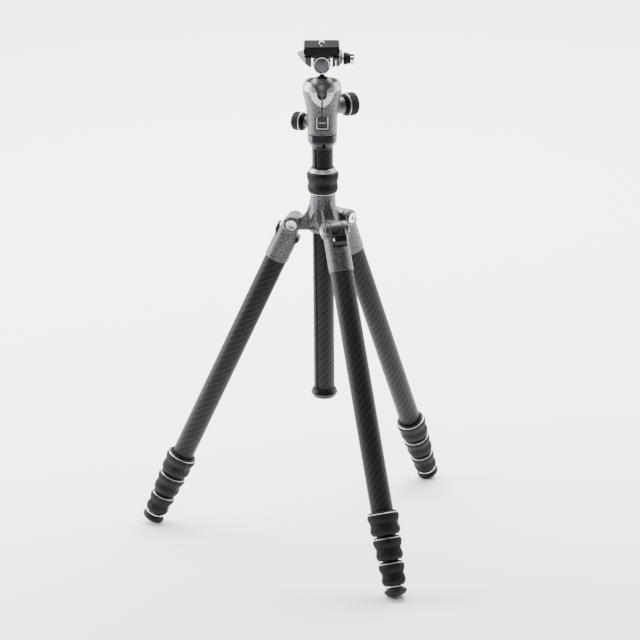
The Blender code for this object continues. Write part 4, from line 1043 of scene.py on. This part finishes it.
# ---------------------------------------------------------------- ball and clamp
def build_ball():
    # ball, thin neck, and the drum that lies across it front to back
    neck = [
        (0, 30.0), (6.0, 30.0), (6.0, 23.2), (4.8, 21.4), (3.2, 20.3), (2.7, 19.2), (2.6, 18.2), (2.9, 17.3),
        (4.3, 16.6),
        (5.8, 16.2), (6.4, 15.6),
    ]  # fmt: skip
    ball = [(16.5 * math.sin(a), 16.5 * math.cos(a)) for a in np.radians(np.linspace(25, 180, 60))]
    ball = np.array([(0, 14.9), (6.9, 14.9), *ball])
    ball[-1] = (0, -16.5)
    turned("ball_sphere", ball, HEAD, FINISH["ball"], "ball", sides=128, node="ball", slot="anodised_ball")
    neck = eased([*neck, (6.4, 15.0), (0, 15.0)], 0.4, 3)
    turned("ball_neck", neck, HEAD, FINISH["nickel"], "ball", sides=96, slot="dark_base")
    rise = 30.7
    drum = frame_matrix(Vector(BALL_AT) + Vector((0, 0, rise * 0.001)), (0, -1, 0), (0, 0, 1))

    def flattened(a, r, z):
        """Keeps the drum under the deck: where it would rise past the deck its radius is the height over
        cos."""
        up = np.cos(a)
        return np.where(r * up > 6.8, 6.8 / np.maximum(up, 0.1), r), z

    barrel = [(9.25, 9.3), (9.25, -9.3), (7.0, -9.3), (7.0, 9.3)]
    turned(
        "drum_barrel", spaced(eased_ring(barrel, 0.2, 2), 1.5), drum, FINISH["ball"], "ball", sides=120,
        ring=True,
        shape=flattened, slot="anodised_ball",
    )  # fmt: skip
    for name, side in (("front", 1), ("back", -1)):
        face = [(0.2, side * 10.95), (7.5, side * 10.6), (7.5, side * 9.4), (0.2, side * 9.4)][::side]
        turned(
            f"drum_face_{name}", spaced(face, 0.8), drum, FINISH["face"], "ball", sides=120, ring=True,
            weave=8.0, slot="anodised_ball",
        )  # fmt: skip
        rim = [
            (7.6, 10.2), (7.8, 10.9), (8.3, 11.4), (9.0, 11.4), (9.6, 10.8), (9.65, 10.0), (9.4, 9.35),
            (7.6, 9.35),
        ]  # fmt: skip
        rim = [(r, side * z) for r, z in rim][::side]
        turned(
            f"drum_rim_{name}", eased_ring(rim, 0.25, 3), drum, FINISH["polished"], "ball", sides=120,
            ring=True,
            slot="turned_steel",
        )  # fmt: skip
    inner = [(16.9 * math.sin(a), 16.9 * math.cos(a)) for a in np.radians(np.linspace(168, 140, 12))]
    outer = [(18.3 * math.sin(a), 18.3 * math.cos(a)) for a in np.radians(np.linspace(140, 168, 12))]
    turned(
        "ball_seat_cup", outer + inner, HEAD, FINISH["nylon"], "ball_seat", sides=96, ring=True,
        node="ball_seat",
        slot="black_plastic",
    )  # fmt: skip
    top, jaw_top = 40.4, 42.8
    deck = [(-11.0, 38.0), (11.0, 38.0), (11.0, top), (-11.0, top)]
    slab(
        "clamp_deck", deck, 8.8, HEAD, FINISH["hammertone"], "ball", 0.3, node="clamp_body",
        slot="hammertone_casting",
    )  # fmt: skip
    for side, name in ((-1, "left"), (1, "right")):
        pillar = [
            (side * 14.7, top), (side * 14.7, 31.4), (side * 14.0, 30.6), (side * 11.1, 29.6),
            (side * 11.1, top),
        ]  # fmt: skip
        slab(
            f"clamp_pillar_{name}", pillar, 16.4, HEAD, FINISH["hammertone"], "ball", 0.5,
            slot="hammertone_casting",
        )  # fmt: skip
    wing = [
        (-14.5, 31.0), (-14.5, top), (-18.7, top), (-18.7, top + 1.1), (-17.0, jaw_top), (-26.4, jaw_top),
        (-26.3, 41.9), (-22.8, 37.6), (-18.9, 34.6),
    ]  # fmt: skip

    def wing_distance(x, y, z):
        """The fixed jaw: its section carried along Y, cut in plan to a blunt point."""
        plan = np.maximum(np.abs(y) - 16.2, (np.abs(y) - 16.6 - (x + 17.2) * 1.49) / 1.79)
        return soft_max(outline_distance(x, z, wing), plan, 0.5)

    jaw = [
        (15.3, 30.4), (15.3, top), (18.7, top), (18.7, top + 1.1), (17.0, jaw_top), (22.2, jaw_top),
        (22.2, 33.0),
        (20.6, 32.0), (17.0, 30.4),
    ]  # fmt: skip

    def jaw_distance(x, y, z):
        """The sliding jaw, narrower towards its knob."""
        plan = np.maximum(np.abs(y) - 16.2, (np.abs(y) - 17.0 + (x - 18.2) * 2.02) / 2.25)
        return soft_max(outline_distance(x, z, jaw), plan, 0.5)

    step = bpy.context.scene.tripod.casting_step * 1000
    cast_piece(
        "clamp_wing", wing_distance, (-27.5, -17.5, 29.5), (-13.5, 17.5, 44), step, HEAD,
        FINISH["hammertone"], "ball",
        slot="hammertone_casting",
    )  # fmt: skip
    cast_piece(
        "clamp_sliding_jaw", jaw_distance, (14.3, -17.5, 29.4), (23.3, 17.5, 44), step, HEAD,
        FINISH["hammertone"],
        "jaw", node="clamp_jaw", slot="hammertone_casting",
    )  # fmt: skip
    turned(
        "clamp_fixing", [(0, 40.2), (2.0, 40.2), (2.0, 37.9), (0, 37.9)], HEAD, FINISH["steel"], "ball",
        sides=48,
        sharp=40, node="clamp_fixing_screw", slot="turned_steel",
    )  # fmt: skip
    place = knob_place("clamp_knob_turn")
    ribs = 22

    def shape(a, r, z):
        ridge = 1 - np.abs(np.cos(ribs * a / 2)) ** 0.7
        ends = np.clip((7.6 - z) / 1.0, 0, 1) * np.clip((z - 1.0) / 1.2, 0, 1)
        return r - np.where(r > 5.0, 0.4 * ridge * ends, 0), z

    grip = [
        (0, 11.3), (4.4, 11.3), (6.0, 11.1), (6.1, 10.9), (6.1, 8.6), (6.1, 7.4), (5.5, 6.6), (5.7, 5.2),
        (6.8, 3.4),
        (6.9, 1.6), (6.0, 0.3), (4.4, 0.1), (2.9, 0.1), (2.9, 6.0), (0, 6.0),
    ]  # fmt: skip
    turned(
        "clamp_knob_grip", spaced(eased(grip, 0.6, 4), 0.4), place, FINISH["rubber"], "clamp_knob",
        sides=ribs * 10,
        shape=shape, node="clamp_knob", slot="grip_rubber",
    )  # fmt: skip
    band = [
        (0, 12.2), (5.0, 12.2), (6.8, 11.9), (6.98, 11.4), (6.98, 7.8), (6.3, 7.4), (6.3, 11.2), (0, 11.4),
    ]  # fmt: skip
    turned(
        "clamp_knob_band", spaced(eased(band, 0.3, 3), 0.8), place, FINISH["polished"], "clamp_knob",
        sides=128,
        slot="turned_steel",
    )  # fmt: skip
    shaft = [(0, 5.6), (2.45, 5.6), (2.45, -10.0), (0, -10.0)]
    turned(
        "clamp_shaft", shaft, place, FINISH["steel"], "clamp_knob", sides=48, sharp=40, node="clamp_screw",
        slot="turned_steel",
    )  # fmt: skip


def build_plate():
    size = bpy.context.scene.tripod
    base = 40.8
    waist, top = base + 3.2, base + 10.2
    body = [
        (-19.2, top), (-19.2, waist + 0.7), (-16.4, waist - 0.3), (16.4, waist - 0.3), (19.2, waist + 0.7),
        (19.2, top),
    ]  # fmt: skip
    slab(
        "quick_release_plate", body, 18.95, HEAD, FINISH["plate"], "plate", 0.35, node="quick_plate",
        slot="black_anodised_plate",
    )  # fmt: skip
    foot = [
        (-15.8, waist - 0.2), (-18.1, base + 0.8), (-18.1, base + 0.1), (18.1, base + 0.1),
        (18.1, base + 0.8), (15.8, waist - 0.2),
    ]  # fmt: skip
    slab("plate_dovetail", foot, 12.9, HEAD, FINISH["plate"], "plate", 0.2, slot="black_anodised_plate")
    # pad: a grid whose height is a row of rounded ridges that run along X, falling away at the edges
    low, high = top + 0.3, top + 1.5
    ridges, half_x, half_y = size.pad_ridges, 18.65, 18.35
    x, y = np.meshgrid(np.linspace(-half_x, half_x, 41), np.linspace(-half_y, half_y, ridges * 10 + 1))
    wave = np.abs(np.sin(math.pi * ridges * (y + half_y) / (2 * half_y))) ** 0.6
    rim = np.clip((half_x - np.abs(x)) / 0.5, 0, 1) * np.clip((half_y - np.abs(y)) / 0.3, 0, 1)
    z = high - 0.55 * (1 - wave * rim)
    clear = np.hypot(x, y) < 4.2
    z = np.where(clear, high - 0.5, z)
    rows, columns = x.shape
    upper = np.stack([x, y, z], -1).reshape(-1, 3)
    lower = np.stack([x, y, np.full(x.shape, low)], -1).reshape(-1, 3)
    i, j = np.meshgrid(np.arange(rows - 1), np.arange(columns - 1), indexing="ij")
    k = (i * columns + j).ravel()
    face = np.stack([k, k + 1, k + columns + 1, k + columns], 1)
    edge = np.concatenate([
        np.arange(columns), np.arange(1, rows) * columns + columns - 1,
        (rows - 1) * columns + np.arange(columns - 2, -1, -1), np.arange(rows - 2, 0, -1) * columns,
    ])  # fmt: skip
    count = rows * columns
    around = np.roll(edge, -1)
    sides = np.stack([edge, edge + count, around + count, around], 1)
    new_object(
        "plate_ribbed_pad", np.concatenate([upper, lower]), [face, face[:, ::-1] + count, sides], HEAD,
        FINISH["pad"], "plate", node="plate_pad", slot="plate_rubber", sharp=50,
    )  # fmt: skip

    # camera screw: 1/4 inch thread, 1.27 mm pitch; the radius follows a saw of height less angle over pitch
    def thread(a, r, z):
        turn = ((z - 1.27 * a / math.tau) / 1.27) % 1
        depth = 0.5 * np.abs(turn - 0.5) * 2
        on = (z > base + 9.0) & (r > 2.0)
        return r - np.where(on, 0.45 * depth, 0), z

    tip = base + 14.4
    screw = [
        (0, tip), (2.3, tip), (3.08, tip - 0.8), (3.1, base + 4.0), (7.4, base + 3.7), (7.4, base + 0.4),
        (0, base + 0.4),
    ]  # fmt: skip
    turned(
        "camera_screw_thread", spaced(np.array(screw, float), 0.16), HEAD, FINISH["steel"], "camera_screw",
        sides=72,
        shape=thread, node="camera_screw", slot="turned_steel", sharp=50,
    )  # fmt: skip
    pin = [(0, high + 0.9), (0.8, high + 0.9), (1.05, high + 0.5), (1.05, high - 0.6), (0, high - 0.6)]
    pin_place = HEAD.copy()
    pin_place[:3, 3] += (0, -0.0135, 0)
    turned("index_pin", pin, pin_place, FINISH["steel"], "plate", sides=32, sharp=40, slot="turned_steel")


# ---------------------------------------------------------------- operators
class TripodOperator:
    bl_options = {"REGISTER", "UNDO"}


class TRIPOD_OT_materials(TripodOperator, bpy.types.Operator):
    """Makes every finish: enamel, anodising, rubber, carbon fibre and paper"""

    bl_idname = "tripod.materials"
    bl_label = "Make materials"

    def execute(self, context):
        FINISH.update(make_materials())
        return {"FINISHED"}


class TRIPOD_OT_legs(TripodOperator, bpy.types.Operator):
    """Builds three legs: castings, pivot bolts, stops, tubes, twist locks and feet"""

    bl_idname = "tripod.legs"
    bl_label = "Build legs"

    def execute(self, context):
        first = None
        for leg in LEGS:
            made = build_leg(leg, first)
            first = first or made
        return {"FINISHED"}


class TRIPOD_OT_column(TripodOperator, bpy.types.Operator):
    """Builds the spider, the column and its lock"""

    bl_idname = "tripod.column"
    bl_label = "Build spider and column"

    def execute(self, context):
        build_column()
        return {"FINISHED"}


class TRIPOD_OT_head(TripodOperator, bpy.types.Operator):
    """Builds the ball head's body, trim, scale, base and knobs"""

    bl_idname = "tripod.head"
    bl_label = "Build head"

    def execute(self, context):
        build_head()
        return {"FINISHED"}


class TRIPOD_OT_clamp(TripodOperator, bpy.types.Operator):
    """Builds the ball, the quick-release clamp, the plate and its screw"""

    bl_idname = "tripod.clamp"
    bl_label = "Build ball, clamp and plate"

    def execute(self, context):
        build_ball()
        build_plate()
        return {"FINISHED"}


def area_light(name, at, aim, size, power, colour="#ffffff"):
    data = bpy.data.lights.new(name, "AREA")
    data.shape = "RECTANGLE"
    data.size, data.size_y = size
    data.energy = power
    data.color = linear(colour)[:3]
    light = bpy.data.objects.new(name, data)
    bpy.context.scene.collection.objects.link(light)
    light.location = at
    light.rotation_euler = (Vector(aim) - Vector(at)).to_track_quat("-Z", "Y").to_euler()
    return light


class TRIPOD_OT_stage(TripodOperator, bpy.types.Operator):
    """Sets the paper sweep, the soft lights and the camera"""

    bl_idname = "tripod.stage"
    bl_label = "Set the stage"

    def execute(self, context):
        scene = context.scene
        size = scene.tripod
        paper = FINISH["paper"].node_tree.nodes["Principled BSDF"]
        paper.inputs["Base Color"].default_value = (*size.paper, 1)
        # paper sweep: a line on the floor, a quarter circle and a wall, carried along X
        bend = np.radians(np.linspace(0, 90, 24))
        run = np.concatenate([[-9000, -3000, 0], 2600 + 1400 * np.sin(bend), [4000]])
        rise = np.concatenate([[0, 0, 0], 1400 - 1400 * np.cos(bend), [6000]])
        x, t = np.meshgrid(np.linspace(-9000, 9000, 9), np.arange(len(run)))
        points = np.stack([x, run[t], rise[t]], -1).reshape(-1, 3)
        rows, columns = x.shape
        i, j = np.meshgrid(np.arange(rows - 1), np.arange(columns - 1), indexing="ij")
        k = (i * columns + j).ravel()
        quads = np.stack([k, k + 1, k + columns + 1, k + columns], 1)
        mesh = bpy.data.meshes.new("paper_sweep")
        mesh.from_pydata((points * 0.001).tolist(), [], quads.tolist())
        mesh.shade_smooth()
        mesh.materials.append(FINISH["paper"])
        sweep = bpy.data.objects.new("paper_sweep", mesh)
        scene.collection.objects.link(sweep)
        aim = (AXIS_X, AXIS_Y, 0.3)
        area_light("key_left", (-1.45, 0.35, 0.62), aim, (1.0, 1.5), size.key_light)
        area_light("fill_right", (1.5, 0.45, 0.6), aim, (0.8, 1.3), size.fill_light)
        area_light("floor_wash", (0.0, 1.5, 2.3), (0.0, 1.7, 0.0), (3.6, 2.0), size.top_light)
        area_light("front_glow", (-0.15, -1.5, 1.9), aim, (0.7, 0.4), 10.0)
        world = bpy.data.worlds.new("studio_surround")
        world.use_nodes = True
        world.node_tree.nodes["Background"].inputs["Color"].default_value = linear("#ffffff")
        world.node_tree.nodes["Background"].inputs["Strength"].default_value = SURROUND
        scene.world = world
        # camera
        data = bpy.data.cameras.new("camera")
        data.sensor_width = 36.0
        data.lens = CAMERA_LENS
        camera = bpy.data.objects.new("camera", data)
        scene.collection.objects.link(camera)
        yaw, pitch, roll = (math.radians(v) for v in CAMERA_TURN)
        forward = Vector((math.sin(yaw) * math.cos(pitch), math.cos(yaw) * math.cos(pitch), -math.sin(pitch)))
        right = Vector((math.cos(yaw), -math.sin(yaw), 0))
        up = right.cross(forward)
        side = right * math.cos(roll) + up * math.sin(roll)
        over = up * math.cos(roll) - right * math.sin(roll)
        turn = Matrix((side, over, -forward)).transposed()
        camera.matrix_world = Matrix.Translation((AXIS_X, AXIS_Y - CAMERA_BACK, CAMERA_HEIGHT)) @ turn.to_4x4()
        data.clip_end = 60
        scene.camera = camera
        return {"FINISHED"}


class TRIPOD_PT_panel(bpy.types.Panel):
    bl_idname = "TRIPOD_PT_panel"
    bl_label = "Travel Tripod"
    bl_space_type = "VIEW_3D"
    bl_region_type = "UI"
    bl_category = "Tripod"

    def draw(self, context):
        settings = context.scene.tripod
        for key in settings.bl_rna.properties.keys():
            if key not in ("rna_type", "name"):
                self.layout.prop(settings, key)
        for operator in OPERATORS:
            self.layout.operator(operator.bl_idname)


OPERATORS = (
    TRIPOD_OT_materials, TRIPOD_OT_legs, TRIPOD_OT_column, TRIPOD_OT_head, TRIPOD_OT_clamp, TRIPOD_OT_stage,
)  # fmt: skip
CLASSES = (TripodSettings, *OPERATORS, TRIPOD_PT_panel)


def register():
    for cls in CLASSES:
        bpy.utils.register_class(cls)
    bpy.types.Scene.tripod = bpy.props.PointerProperty(type=TripodSettings)


def unregister():
    del bpy.types.Scene.tripod
    for cls in reversed(CLASSES):
        bpy.utils.unregister_class(cls)


def main():
    register()
    bpy.ops.tripod.materials()
    bpy.ops.tripod.legs()
    bpy.ops.tripod.column()
    bpy.ops.tripod.head()
    bpy.ops.tripod.clamp()
    bpy.ops.tripod.stage()


if __name__ == "__main__":
    main()
